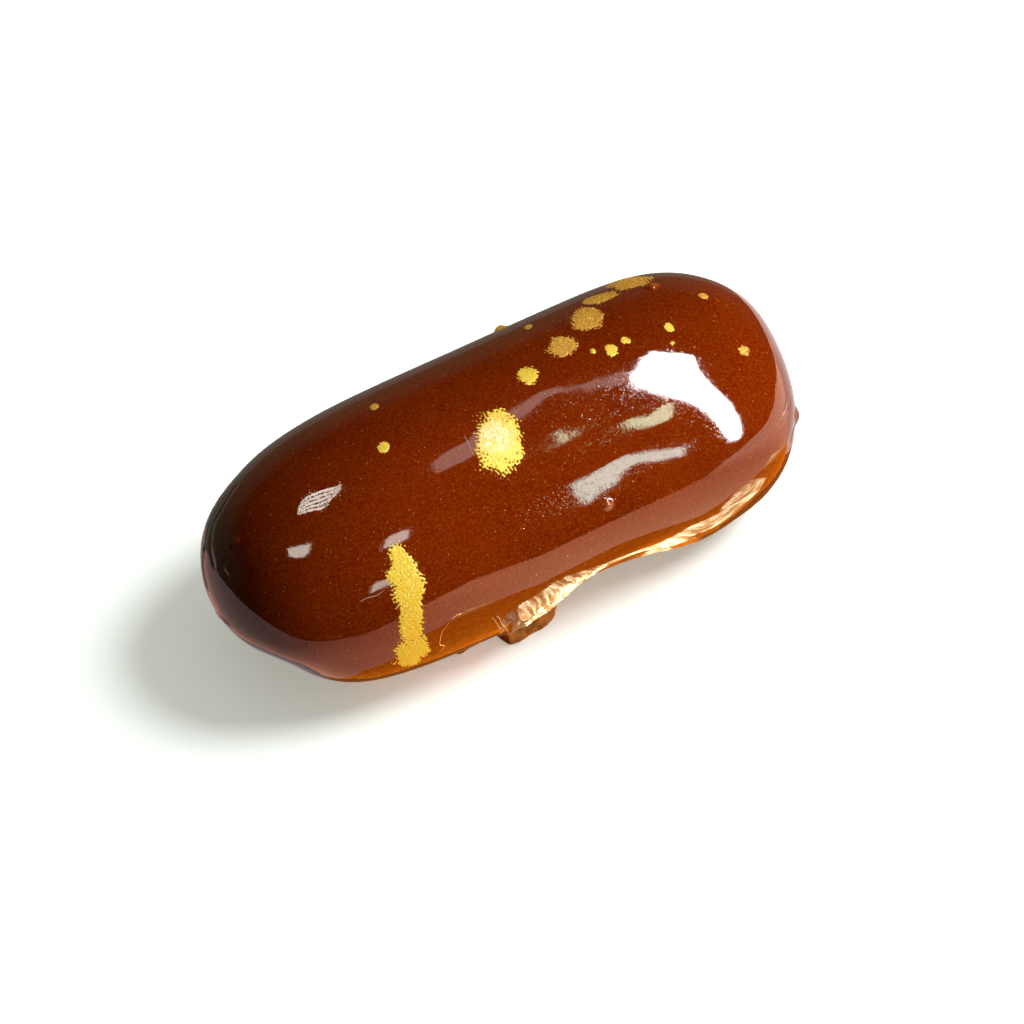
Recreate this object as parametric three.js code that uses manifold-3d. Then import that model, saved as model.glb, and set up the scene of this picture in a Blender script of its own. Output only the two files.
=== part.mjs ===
// Mini chocolate eclair: a plump choux finger under dark mirror glaze, spattered with gold dust.
// Millimetres, +Z up, +X along the eclair. It rests on z = 0 with its origin under its middle.

import * as THREE from 'three';
import { mergeVertices } from 'three/addons/utils/BufferGeometryUtils.js';
import Module from 'manifold-3d';

// The plump finger, measured from its widest level
const HALF_LENGTH = 39.0;
const HALF_WIDTH = 17.4;
const WIDEST_LEVEL = 13.5;
const CROWN_RISE = 14.9;
const BELLY_DROP = 14.9;

// How square each part of the outline is: 2 is an ellipse, more is fuller
const NEAR_END_FULLNESS = 4.1;
const FAR_END_FULLNESS = 6.9;
const CROWN_FULLNESS = 2.05;
const BELLY_FULLNESS = 2.35;

// The inner line that the surface is spread out from, and how it slows towards the ends
const SPINE_REACH = 26.0;
const SPINE_EVEN_REACH = 24.0;
const SPINE_EVEN_SHARE = 0.07;

// The glaze stops in a curled rim: nearly on the table at the near end, lifted behind a tear at the front
const RIM_LOW = 0.45;
const RIM_HIGH = 4.2;
const RIM_RISE_START = 0.7035;
const RIM_RISE_END = 0.7105;
const RIM_FALL_START = -0.02;
const RIM_FALL_END = 0.40;
const RIM_TIP_LIFT = 1.9;
const RIM_TIP_SPREAD = 0.07;
const RIM_FLAP_LIFT = 1.45;
const RIM_FLAP_TURN = 0.749;
const RIM_FLAP_SPREAD = 0.022;
const RIM_CURL = [[0.35, -0.22], [0.85, -0.12], [1.15, 0.28], [1.6, 0.7]];

// The bare choux under the rim: how far in from the rim it starts and stands on the table
const CHOUX_SET_IN = 2.1;
const CHOUX_TOE_SET_IN = 3.0;
const CHOUX_LEAN = 0.32;
const CHOUX_SIDE = [[0, 0.85], [0.55, 0.4], [1, 0]];
const TOE_ROUNDING = 0.5;
const ROOMY_REACH = 8.0;

// The flap where the glaze ran out and tore, and set as a thin skirt that curves out over the choux
const FLAP_TIP = -8.2;
const FLAP_TEAR = 1.1;
const FLAP_END = 7.1;
const FLAP_REACH = 0.65;
const FLAP_FADE = 1.25;
const FLAP_TOP = 10.6;
const FLAP_BOTTOM = 5.7;
const FLAP_CURVE = 2.0;
const PLEAT_DEPTH = 0.12;
const PLEAT_PITCH = 3.1;

// The lump of choux under the flap
const LUMP = { push: 3.3, start: -9.6, full: -8.0, fading: -1.0, end: 4.0 };

// Where the finger swells or is pinched: a push outwards, its place, and the heights it fades between
const WAIST = { push: -1.6, along: 11.5, spread: 6.5, fadeTop: 13.0, fadeBottom: 4.0 };
const NOTCH = { push: -1.9, along: 4.2, spread: 5.9, fadeTop: 12.2, fadeBottom: 6.0 };
const BULGE = { push: 0.5, along: 20.0, spread: 4.5, fadeTop: 11.0, fadeBottom: 4.0 };
const SPREAD_FOOT = { push: 1.5, along: -13.0, spread: 3.6, fadeTop: 3.4, fadeBottom: 0.6 };
const FAR_CORNER = { push: 1.1, degrees: 12.0, spread: 26.0 };
const NEAR_TIP = { push: 0.7, start: -29.0, full: -37.0, fadeBottom: 7.0, fadeTop: 13.0 };
const NEAR_TUCK = { push: -1.2, degrees: 212.0, spread: 16.0, fadeTop: 15.0, fadeBottom: 6.0 };
const NEAR_CHEEK = { push: 0.4, degrees: 245.0, spread: 14.0, fadeTop: 13.0, fadeBottom: 6.0 };

// Grid: columns round the eclair, rows from crown to rim, rows across the flat base
const COLUMNS = 144;
const SKIN_ROWS = 22;
const BASE_ROWS = 2;
const OUTLINE_SAMPLES = 6000;
const HALVINGS = 44;
const WELD_GAP = 1e-4;

// Gold splashes: place along, roll from the crown to the front, size, and turn of the long side
const GOLD_RISE = 0.25;
const SPLASHES = [
  { along: -3.4, roll: 20, long: 9.6, wide: 6.2, turn: 30 },
  { along: -20.9, roll: 58, long: 8.6, wide: 4.1, turn: 18 },
  { along: -22.2, roll: 84, long: 8.0, wide: 3.6, turn: 8 },
  { along: 10.9, roll: -13, long: 3.7, wide: 3.1, turn: 40 },
  { along: 16.4, roll: -24, long: 5.2, wide: 4.0, turn: 30 },
  { along: 19.9, roll: -35, long: 4.9, wide: 3.6, turn: 60 },
  { along: 25.0, roll: -45, long: 5.6, wide: 3.8, turn: 60 },
  { along: 4.7, roll: -5, long: 2.8, wide: 2.3, turn: 20 },
  { along: 15.5, roll: 2, long: 1.9, wide: 1.3, turn: 30 },
  { along: 17.9, roll: 0, long: 1.4, wide: 1.2, turn: 0 },
  { along: 23.7, roll: 3, long: 1.5, wide: 1.3, turn: 0 },
  { along: 30.5, roll: 30, long: 1.7, wide: 1.3, turn: 0 },
  { along: -15.9, roll: -2, long: 1.9, wide: 1.6, turn: 30 },
  { along: -13.1, roll: -30, long: 1.8, wide: 1.2, turn: 30 },
];

// Air bubbles and crumbs under the glaze that lift it in small bumps
const BUMPS = [
  { along: 5.6, roll: 66, long: 1.3, wide: 1.2, turn: 0, rise: 0.45 },
  { along: 26.2, roll: -30, long: 2.2, wide: 1.6, turn: 30, rise: 0.3 },
  { along: 8.6, roll: -59, long: 1.6, wide: 1.3, turn: 0, rise: 0.45 },
  { along: 34.5, roll: 84, long: 2.0, wide: 1.2, turn: 0, rise: 0.4 },
];
const PAD_SINK = 0.8;
const PAD_EDGE_SHARE = 0.6;
const PAD_STEP = 1.7;
const PAD_WAVES = [{ height: 0.1, lobes: 3, shift: 1 }, { height: 0.06, lobes: 5, shift: 2 }];

// A ramp from 0 to 1 that leaves and arrives gently, in either direction
function ramp(from, to, value) {
  const t = THREE.MathUtils.clamp((value - from) / (to - from), 0, 1);
  return t * t * (3 - 2 * t);
}

function bell(value, middle, width) {
  return Math.exp(-(((value - middle) / width) ** 2));
}

function endFullness(x) {
  return x < 0 ? NEAR_END_FULLNESS : FAR_END_FULLNESS;
}

// Below zero inside the plain finger, above zero outside
function fingerField(x, y, z) {
  const upper = z >= WIDEST_LEVEL;
  const fullness = upper ? CROWN_FULLNESS : BELLY_FULLNESS;
  const drop = upper ? CROWN_RISE : BELLY_DROP;
  const taper = 1 - Math.abs(x / HALF_LENGTH) ** endFullness(x);
  const section = Math.abs(y / HALF_WIDTH) ** fullness + Math.abs((z - WIDEST_LEVEL) / drop) ** fullness;
  const beyondEnd = Math.max(0, Math.abs(x) - HALF_LENGTH);
  return section - Math.max(0, taper) ** (fullness / 2) + beyondEnd;
}

// Distance from a spine point along a direction to the plain finger, by halving
function reachToFinger(origin, direction) {
  let near = 0;
  let far = 2 * HALF_LENGTH;
  for (let halving = 0; halving < HALVINGS; halving += 1) {
    const t = (near + far) / 2;
    const field = fingerField(
      origin.x + direction.x * t,
      origin.y + direction.y * t,
      origin.z + direction.z * t,
    );
    if (field < 0) near = t;
    else far = t;
  }
  return (near + far) / 2;
}

// Even steps round the widest outline, counterclockwise from the far tip
function evenOutline(count) {
  const points = [];
  const lengths = [0];
  for (let i = 0; i <= OUTLINE_SAMPLES; i += 1) {
    const angle = (2 * Math.PI * i) / OUTLINE_SAMPLES;
    const along = Math.cos(angle);
    const x = HALF_LENGTH * Math.sign(along) * Math.abs(along) ** (2 / endFullness(along));
    points.push(new THREE.Vector2(x, HALF_WIDTH * Math.sin(angle)));
    if (i > 0) lengths.push(lengths[i - 1] + points[i].distanceTo(points[i - 1]));
  }
  const total = lengths[OUTLINE_SAMPLES];
  const even = [];
  let i = 0;
  for (let column = 0; column < count; column += 1) {
    const target = (total * column) / count;
    while (lengths[i + 1] < target) i += 1;
    const share = (target - lengths[i]) / (lengths[i + 1] - lengths[i]);
    even.push(points[i].clone().lerp(points[i + 1], share));
  }
  return even;
}

// One column of the surface stands in the upright plane through its spine point
function makeColumns() {
  return evenOutline(COLUMNS).map((point, i) => {
    const turn = i / COLUMNS;
    const even = SPINE_EVEN_REACH * (turn < 0.5 ? 1 - 4 * turn : 4 * turn - 3);
    const slowed = (SPINE_REACH * point.x) / Math.cbrt(Math.abs(point.x) ** 3 + SPINE_REACH ** 3);
    const spine = (1 - SPINE_EVEN_SHARE) * slowed + SPINE_EVEN_SHARE * even;
    const out = new THREE.Vector2(point.x - spine, point.y).normalize();
    const degrees = THREE.MathUtils.euclideanModulo(THREE.MathUtils.radToDeg(out.angle()) + 90, 360) - 90;
    return { turn, spine, out, degrees };
  });
}

// Height of the rim's lower edge over the table
function rimHeight(turn) {
  const front = ramp(RIM_RISE_START, RIM_RISE_END, turn);
  const back = 1 - ramp(RIM_FALL_START, RIM_FALL_END, turn);
  const nearTip = RIM_TIP_LIFT * bell(turn, 0.5, RIM_TIP_SPREAD);
  const flap = RIM_FLAP_LIFT * bell(turn, RIM_FLAP_TURN, RIM_FLAP_SPREAD) * front;
  return RIM_LOW + (RIM_HIGH - RIM_LOW) * (turn > 0.5 ? front : back) + nearTip + flap;
}

// How strongly the flap shows at a place along, from nothing at the tear to all of it at the tip
function flapAlong(x) {
  const shrink = THREE.MathUtils.clamp((FLAP_END - x) / (FLAP_END - FLAP_TIP), 0, 1) ** FLAP_FADE;
  return ramp(FLAP_TIP - FLAP_TEAR, FLAP_TIP, x) * shrink;
}

// How far the flap has curved out at a height
function flapDown(z) {
  return THREE.MathUtils.clamp((FLAP_TOP - z) / (FLAP_TOP - FLAP_BOTTOM), 0, 1) ** FLAP_CURVE;
}

// A swelling of the front side, centred on one place along and faded out upwards
function frontSwelling(swelling, x, z) {
  const height = ramp(swelling.fadeTop, swelling.fadeBottom, z);
  return swelling.push * bell(x, swelling.along, swelling.spread) * height;
}

// A swelling of one end, centred on one direction round it
function endSwelling(swelling, degrees) {
  return swelling.push * bell(degrees, swelling.degrees, swelling.spread);
}

// How far the real finger stands out from the plain one
function unevenness(column, x, y, z) {
  const front = y < 0 ? 1 : 0;
  const near = x < 0 ? 1 : 0;
  const pleats = PLEAT_DEPTH * Math.sin((2 * Math.PI * x) / PLEAT_PITCH);
  let frontPush = flapAlong(x) * flapDown(z) * (FLAP_REACH + pleats);
  for (const swelling of [WAIST, NOTCH, BULGE, SPREAD_FOOT]) frontPush += frontSwelling(swelling, x, z);
  const tipHeight = ramp(NEAR_TIP.fadeBottom, NEAR_TIP.fadeTop, z);
  const nearTip = NEAR_TIP.push * ramp(NEAR_TIP.start, NEAR_TIP.full, x) * tipHeight;
  const farCorner = endSwelling(FAR_CORNER, column.degrees);
  const nearTuck = endSwelling(NEAR_TUCK, column.degrees) * ramp(NEAR_TUCK.fadeTop, NEAR_TUCK.fadeBottom, z);
  const cheekHeight = ramp(NEAR_CHEEK.fadeTop, NEAR_CHEEK.fadeBottom, z);
  const nearCheek = endSwelling(NEAR_CHEEK, column.degrees) * near * cheekHeight;
  return front * frontPush + farCorner + nearTip + nearTuck + nearCheek;
}

// Points of one column from the crown, over the glaze and its rim, to the middle of the base
function columnPoints(column) {
  const { spine, out } = column;
  const heart = new THREE.Vector3(spine, 0, WIDEST_LEVEL);
  const rim = rimHeight(column.turn);
  const rimLevel = new THREE.Vector3(spine, 0, rim);
  const rimReach = reachToFinger(rimLevel, new THREE.Vector3(out.x, out.y, 0));
  const rimTilt = Math.atan2(rimReach, rim - WIDEST_LEVEL);
  const points = [];
  for (let row = 0; row <= SKIN_ROWS; row += 1) {
    const tilt = (rimTilt * row) / SKIN_ROWS;
    const direction = new THREE.Vector3(
      out.x * Math.sin(tilt),
      out.y * Math.sin(tilt),
      Math.cos(tilt),
    );
    const point = heart.clone().addScaledVector(direction, reachToFinger(heart, direction));
    const push = unevenness(column, point.x, point.y, point.z) * Math.sin(tilt);
    point.x += out.x * push;
    point.y += out.y * push;
    points.push(point);
  }
  const edge = points[SKIN_ROWS];
  const edgeReach = Math.hypot(edge.x - spine, edge.y);
  const room = Math.min(1, edgeReach / ROOMY_REACH);
  const at = (setIn, z) => {
    const reach = edgeReach - setIn * room;
    return new THREE.Vector3(spine + out.x * reach, out.y * reach, z);
  };
  for (const [setIn, lift] of RIM_CURL) points.push(at(setIn, rim + lift));
  const shoulder = rim + RIM_CURL[RIM_CURL.length - 1][1];
  const lumpAlong = ramp(LUMP.start, LUMP.full, edge.x) * (1 - ramp(LUMP.fading, LUMP.end, edge.x));
  const lump = edge.y < 0 ? LUMP.push * lumpAlong : 0;
  const toe = CHOUX_TOE_SET_IN + CHOUX_LEAN * rim - lump;
  for (const [lean, height] of CHOUX_SIDE) {
    points.push(at(THREE.MathUtils.lerp(CHOUX_SET_IN, toe, lean), shoulder * height));
  }
  points.push(at(toe + TOE_ROUNDING, 0));
  const toePoint = points[points.length - 1];
  const middle = new THREE.Vector3(spine, 0, 0);
  for (let row = 1; row <= BASE_ROWS; row += 1) {
    points.push(toePoint.clone().lerp(middle, row / BASE_ROWS));
  }
  return points;
}

// Closed surface from equal columns that share their first and last points across the spine
function skinGeometry() {
  const columns = makeColumns().map(columnPoints);
  const rows = columns[0].length;
  const positions = columns.flat().flatMap((point) => [point.x, point.y, point.z]);
  const indices = [];
  for (let column = 0; column < COLUMNS; column += 1) {
    const next = (column + 1) % COLUMNS;
    for (let row = 0; row < rows - 1; row += 1) {
      const a = column * rows + row;
      const b = next * rows + row;
      indices.push(a, a + 1, b + 1, a, b + 1, b);
    }
  }
  const geometry = new THREE.BufferGeometry();
  geometry.setAttribute('position', new THREE.Float32BufferAttribute(positions, 3));
  geometry.setIndex(indices);
  return mergeVertices(geometry, WELD_GAP);
}

// A thin pad that follows the skin under it, with an uneven outline
function padGeometry(target, pad, order) {
  const caster = new THREE.Raycaster();
  const rise = pad.rise ?? GOLD_RISE;
  const turn = THREE.MathUtils.degToRad(pad.turn);
  const sides = Math.max(8, Math.round((Math.PI * pad.long) / PAD_STEP));
  const rings = Math.max(1, Math.round(pad.wide / 2 / PAD_STEP));
  const onSkin = (share, angle, lift) => {
    const waves = PAD_WAVES.map((wave) => wave.height * Math.sin(wave.lobes * angle + wave.shift * order));
    const wobble = 1 + waves[0] + waves[1];
    const long = (pad.long / 2) * share * wobble * Math.cos(angle);
    const wide = (pad.wide / 2) * share * wobble * Math.sin(angle);
    const along = pad.along + wide * Math.cos(turn) - long * Math.sin(turn);
    const girth = long * Math.cos(turn) + wide * Math.sin(turn);
    const roll = THREE.MathUtils.degToRad(pad.roll) + girth / CROWN_RISE;
    const away = new THREE.Vector3(0, -Math.sin(roll), Math.cos(roll));
    const start = new THREE.Vector3(along, 0, WIDEST_LEVEL).addScaledVector(away, 2 * CROWN_RISE);
    caster.set(start, away.clone().negate());
    const hit = caster.intersectObject(target)[0].point;
    return hit.addScaledVector(away, lift);
  };
  const points = [onSkin(0, 0, rise)];
  const levels = [];
  for (let ring = 1; ring <= rings; ring += 1) {
    const lift = ring === rings ? rise * PAD_EDGE_SHARE : rise;
    levels.push([ring / rings, lift]);
  }
  levels.push([1, -PAD_SINK]);
  for (const [share, lift] of levels) {
    for (let side = 0; side < sides; side += 1) {
      points.push(onSkin(share, (2 * Math.PI * side) / sides, lift));
    }
  }
  points.push(onSkin(0, 0, -PAD_SINK));
  const indices = [];
  const last = points.length - 1;
  for (let side = 0; side < sides; side += 1) {
    const next = (side + 1) % sides;
    indices.push(0, 1 + side, 1 + next);
    for (let level = 0; level < levels.length - 1; level += 1) {
      const a = 1 + level * sides;
      const b = a + sides;
      indices.push(a + side, b + side, b + next, a + side, b + next, a + next);
    }
    const rim = last - sides;
    indices.push(last, rim + next, rim + side);
  }
  const geometry = new THREE.BufferGeometry();
  geometry.setAttribute('position', new THREE.Float32BufferAttribute(points.flatMap((p) => p.toArray()), 3));
  geometry.setIndex(indices);
  return geometry;
}

const wasm = await Module();
wasm.setup();

function toSolid(geometry) {
  const mesh = new wasm.Mesh({
    numProp: 3,
    vertProperties: new Float32Array(geometry.attributes.position.array),
    triVerts: new Uint32Array(geometry.index.array),
  });
  return new wasm.Manifold(mesh);
}

function toGeometry(solid) {
  const mesh = solid.getMesh();
  const geometry = new THREE.BufferGeometry();
  geometry.setAttribute('position', new THREE.Float32BufferAttribute(mesh.vertProperties, 3));
  geometry.setIndex(new THREE.Uint32BufferAttribute(mesh.triVerts, 1));
  return geometry;
}

function makeEclair() {
  const skin = skinGeometry();
  const target = new THREE.Mesh(skin, new THREE.MeshBasicMaterial({ side: THREE.DoubleSide }));
  let solid = toSolid(skin);
  [...SPLASHES, ...BUMPS].forEach((pad, order) => {
    solid = solid.add(toSolid(padGeometry(target, pad, order)));
  });
  const geometry = toGeometry(solid);
  geometry.computeBoundingBox();
  const { min, max } = geometry.boundingBox;
  geometry.translate(-(min.x + max.x) / 2, -(min.y + max.y) / 2, -min.z);
  geometry.computeVertexNormals();
  const glaze = new THREE.MeshStandardMaterial({ color: 0x5a1c08, roughness: 0.12, metalness: 0 });
  const mesh = new THREE.Mesh(geometry, glaze);
  mesh.name = 'eclair';
  return mesh;
}

const group = new THREE.Group();
group.add(makeEclair());

export default group;
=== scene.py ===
# %% [markdown]
# A mini chocolate eclair, the size of a finger: a plump choux shell under dark mirror glaze, with splashes
# of gold dust and a skirt of glaze that ran out at the front. This file builds its looks in Blender, cell by
# cell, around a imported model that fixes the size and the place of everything. Lengths are worked out in
# millimetres, as a pastry cook would measure them, and become metres only when a mesh is made.

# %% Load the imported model
import math
import bpy
import numpy as np
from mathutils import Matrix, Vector
from mathutils.bvhtree import BVHTree
from mathutils.interpolate import poly_3d_calc


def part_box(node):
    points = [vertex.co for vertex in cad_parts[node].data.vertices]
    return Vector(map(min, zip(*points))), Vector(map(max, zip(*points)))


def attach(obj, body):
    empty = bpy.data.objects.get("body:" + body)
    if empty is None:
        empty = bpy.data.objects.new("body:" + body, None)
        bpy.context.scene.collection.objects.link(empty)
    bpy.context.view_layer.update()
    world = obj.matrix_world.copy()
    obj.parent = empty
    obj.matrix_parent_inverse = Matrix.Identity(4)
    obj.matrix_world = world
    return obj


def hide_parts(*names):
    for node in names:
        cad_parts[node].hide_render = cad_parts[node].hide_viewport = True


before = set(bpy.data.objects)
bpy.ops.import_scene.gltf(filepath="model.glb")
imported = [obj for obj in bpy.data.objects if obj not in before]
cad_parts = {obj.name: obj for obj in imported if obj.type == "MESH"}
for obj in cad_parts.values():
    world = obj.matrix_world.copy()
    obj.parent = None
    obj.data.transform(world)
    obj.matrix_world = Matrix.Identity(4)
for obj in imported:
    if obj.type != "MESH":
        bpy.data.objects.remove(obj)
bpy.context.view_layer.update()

MM = 0.001
low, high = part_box("eclair")
print("packed eclair, mm:", [round(side / MM, 1) for side in (high - low)])

# %% [markdown]
# A piped finger of choux is nearly a stretched ellipsoid: round across, straighter along its sides, and with
# one end fuller than the other. A field that is below zero inside and above zero outside says this in one
# line, and its surface is found by halving along straight lines from an inner spine. A subdivided box or a
# sculpt would be quicker to start, but the field keeps the form exact and lets every later piece ask where
# the surface is.

# %% The plain finger
HALF_LENGTH = 39.0
HALF_WIDTH = 17.4
WIDEST_LEVEL = 13.5
CROWN_RISE = 14.9
BELLY_DROP = 14.9
NEAR_END_FULLNESS = 4.1
FAR_END_FULLNESS = 6.9
CROWN_FULLNESS = 2.05
BELLY_FULLNESS = 2.35


def ramp(start, end, value):
    """A gentle climb from 0 at start to 1 at end."""
    t = np.clip((value - start) / (end - start), 0.0, 1.0)
    return t * t * (3.0 - 2.0 * t)


def bell(value, middle, width):
    return np.exp(-(((value - middle) / width) ** 2))


def finger_field(x, y, z):
    upper = z >= WIDEST_LEVEL
    fullness = np.where(upper, CROWN_FULLNESS, BELLY_FULLNESS)
    drop = np.where(upper, CROWN_RISE, BELLY_DROP)
    end_fullness = np.where(x < 0, NEAR_END_FULLNESS, FAR_END_FULLNESS)
    taper = np.clip(1.0 - np.abs(x / HALF_LENGTH) ** end_fullness, 0.0, None)
    section = np.abs(y / HALF_WIDTH) ** fullness + np.abs((z - WIDEST_LEVEL) / drop) ** fullness
    beyond_end = np.clip(np.abs(x) - HALF_LENGTH, 0.0, None)
    return section - taper ** (fullness / 2.0) + beyond_end


def reach_to_finger(origin, direction):
    near = np.zeros(direction.shape[:-1])
    far = near + 2.0 * HALF_LENGTH
    for halving in range(36):
        t = (near + far) / 2.0
        place = origin + direction * t[..., None]
        inside = finger_field(place[..., 0], place[..., 1], place[..., 2]) < 0
        near = np.where(inside, t, near)
        far = np.where(inside, far, t)
    return (near + far) / 2.0


print("plain finger, mm:", 2.0 * HALF_LENGTH, "long,", 2.0 * HALF_WIDTH, "wide")

# %% [markdown]
# The skin is laid out in upright columns that fan out from the spine, like the staves of a barrel, because
# the lower edge of the glaze then runs along a row of the grid and can be curled and torn. The columns are
# closer together where the skirt of glaze hangs. Both sides use the same spacing, so that columns facing each
# other meet in one point on the crown.

# %% Columns round the eclair
SPINE_REACH = 26.0
SPINE_EVEN_REACH = 24.0
SPINE_EVEN_SHARE = 0.07
SKIRT_TURN = 0.72
SKIRT_SPREAD = 0.05
SKIRT_EXTRA = 1.2
OUTLINE_SAMPLES = 12000


def make_columns(count):
    angle = np.linspace(0.0, 2.0 * np.pi, OUTLINE_SAMPLES + 1)
    cosine = np.cos(angle)
    end_fullness = np.where(cosine < 0, NEAR_END_FULLNESS, FAR_END_FULLNESS)
    outline_x = HALF_LENGTH * np.sign(cosine) * np.abs(cosine) ** (2.0 / end_fullness)
    outline_y = HALF_WIDTH * np.sin(angle)
    steps = np.hypot(np.diff(outline_x), np.diff(outline_y))
    turn_at = np.concatenate([[0.0], np.cumsum(steps)])
    turn_at /= turn_at[-1]
    both_sides = bell(turn_at, SKIRT_TURN, SKIRT_SPREAD) + bell(turn_at, 1.0 - SKIRT_TURN, SKIRT_SPREAD)
    crowding = 1.0 + SKIRT_EXTRA * both_sides
    share = np.diff(turn_at) * (crowding[1:] + crowding[:-1]) / 2.0
    weight = np.concatenate([[0.0], np.cumsum(share)])
    turn = np.interp(np.arange(count) / count * weight[-1], weight, turn_at)
    x = np.interp(turn, turn_at, outline_x)
    y = np.interp(turn, turn_at, outline_y)
    even = SPINE_EVEN_REACH * np.where(turn < 0.5, 1.0 - 4.0 * turn, 4.0 * turn - 3.0)
    slowed = SPINE_REACH * x / np.cbrt(np.abs(x) ** 3 + SPINE_REACH ** 3)
    spine = (1.0 - SPINE_EVEN_SHARE) * slowed + SPINE_EVEN_SHARE * even
    out = np.stack([x - spine, y, np.zeros(count)], axis=-1)
    out /= np.linalg.norm(out, axis=-1, keepdims=True)
    degrees = np.degrees(np.arctan2(out[:, 1], out[:, 0]))
    degrees = np.where(degrees < -90.0, degrees + 360.0, degrees)
    return turn, spine, out, degrees


GLAZE_COLUMNS = 620
turn, spine, out, degrees = make_columns(GLAZE_COLUMNS)
print("columns:", GLAZE_COLUMNS, "on a spine from", round(spine.min(), 1), "to", round(spine.max(), 1), "mm")

# %% [markdown]
# The real finger isn't even. It has a waist at the front, a fuller corner at the far end, a tucked-in near
# end, and a flap where the glaze ran out and set as a thin pleated skirt. Each is a smooth push outwards from
# the plain form, with its place and size named, so that it can be set against the photograph on its own.

# %% Rim height and unevenness
RIM_LOW = 0.45
RIM_HIGH = 4.2
RIM_RISE_START = 0.7035
RIM_RISE_END = 0.7105
RIM_FALL_START = -0.02
RIM_FALL_END = 0.40
RIM_TIP_LIFT = 1.9
RIM_TIP_SPREAD = 0.07
RIM_FLAP_LIFT = 1.45
RIM_FLAP_TURN = 0.749
RIM_FLAP_SPREAD = 0.022
FLAP_TIP = -8.2
FLAP_TEAR = 1.1
FLAP_END = 7.1
FLAP_REACH = 0.65
FLAP_FADE = 1.25
FLAP_TOP = 10.6
FLAP_BOTTOM = 5.7
FLAP_CURVE = 2.0
PLEAT_DEPTH = 0.12
PLEAT_PITCH = 3.1
WAIST = dict(push=-1.6, along=11.5, spread=6.5, fade_top=13.0, fade_bottom=4.0)
NOTCH = dict(push=-1.9, along=4.2, spread=5.9, fade_top=12.2, fade_bottom=6.0)
BULGE = dict(push=0.5, along=20.0, spread=4.5, fade_top=11.0, fade_bottom=4.0)
SPREAD_FOOT = dict(push=1.5, along=-13.0, spread=3.6, fade_top=3.4, fade_bottom=0.6)
FAR_CORNER = dict(push=1.1, degrees=12.0, spread=26.0)
NEAR_TIP = dict(push=0.7, start=-29.0, full=-37.0, fade_bottom=7.0, fade_top=13.0)
NEAR_TUCK = dict(push=-1.2, degrees=212.0, spread=16.0, fade_top=15.0, fade_bottom=6.0)
NEAR_CHEEK = dict(push=0.4, degrees=245.0, spread=14.0, fade_top=13.0, fade_bottom=6.0)


def rim_height(turn):
    front = ramp(RIM_RISE_START, RIM_RISE_END, turn)
    back = 1.0 - ramp(RIM_FALL_START, RIM_FALL_END, turn)
    near_tip = RIM_TIP_LIFT * bell(turn, 0.5, RIM_TIP_SPREAD)
    flap = RIM_FLAP_LIFT * bell(turn, RIM_FLAP_TURN, RIM_FLAP_SPREAD) * front
    return RIM_LOW + (RIM_HIGH - RIM_LOW) * np.where(turn > 0.5, front, back) + near_tip + flap


def flap_along(x):
    """How strongly the flap shows: nothing before the tear, all of it at the tip, fading to the far side."""
    shrink = np.clip((FLAP_END - x) / (FLAP_END - FLAP_TIP), 0.0, 1.0) ** FLAP_FADE
    return ramp(FLAP_TIP - FLAP_TEAR, FLAP_TIP, x) * shrink


def flap_down(z):
    return np.clip((FLAP_TOP - z) / (FLAP_TOP - FLAP_BOTTOM), 0.0, 1.0) ** FLAP_CURVE


def front_swelling(swelling, x, z):
    fade = ramp(swelling["fade_top"], swelling["fade_bottom"], z)
    return swelling["push"] * bell(x, swelling["along"], swelling["spread"]) * fade


def end_swelling(swelling, degrees):
    return swelling["push"] * bell(degrees, swelling["degrees"], swelling["spread"])


def unevenness(degrees, x, y, z):
    front = np.where(y < 0, 1.0, 0.0)
    near = np.where(x < 0, 1.0, 0.0)
    pleats = PLEAT_DEPTH * np.sin(2.0 * np.pi * x / PLEAT_PITCH)
    front_push = flap_along(x) * flap_down(z) * (FLAP_REACH + pleats)
    for swelling in (WAIST, NOTCH, BULGE, SPREAD_FOOT):
        front_push = front_push + front_swelling(swelling, x, z)
    tip_height = ramp(NEAR_TIP["fade_bottom"], NEAR_TIP["fade_top"], z)
    near_tip = NEAR_TIP["push"] * ramp(NEAR_TIP["start"], NEAR_TIP["full"], x) * tip_height
    tuck_height = ramp(NEAR_TUCK["fade_top"], NEAR_TUCK["fade_bottom"], z)
    cheek_height = ramp(NEAR_CHEEK["fade_top"], NEAR_CHEEK["fade_bottom"], z)
    ends = end_swelling(FAR_CORNER, degrees) + end_swelling(NEAR_TUCK, degrees) * tuck_height
    return front * front_push + ends + near_tip + end_swelling(NEAR_CHEEK, degrees) * near * cheek_height


# %% [markdown]
# From each place on the spine the skin is now followed from the crown down to the rim: a row of the grid for
# every small step of tilt, and a column for every stave. A remesh would close the surface too, but it would
# lose the rows that the rim needs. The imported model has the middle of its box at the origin, so the middle of
# this grid is noted here and taken off every piece.

# %% Skin of the glaze as a grid
GLAZE_ROWS = 138


def skin_grid(turn, spine, out, degrees, rows):
    count = len(turn)
    rim = rim_height(turn)
    heart = np.stack([spine, np.zeros(count), np.full(count, WIDEST_LEVEL)], axis=-1)
    rim_level = heart.copy()
    rim_level[:, 2] = rim
    rim_reach = reach_to_finger(rim_level, out)
    rim_tilt = np.arctan2(rim_reach, rim - WIDEST_LEVEL)
    tilt = np.linspace(0.0, 1.0, rows + 1)[:, None] * rim_tilt[None, :]
    direction = out[None, :, :] * np.sin(tilt)[..., None]
    direction[..., 2] = np.cos(tilt)
    reach = reach_to_finger(heart[None, :, :], direction)
    skin = heart[None, :, :] + direction * reach[..., None]
    push = unevenness(degrees[None, :], skin[..., 0], skin[..., 1], skin[..., 2]) * np.sin(tilt)
    return skin + out[None, :, :] * push[..., None], rim


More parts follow.
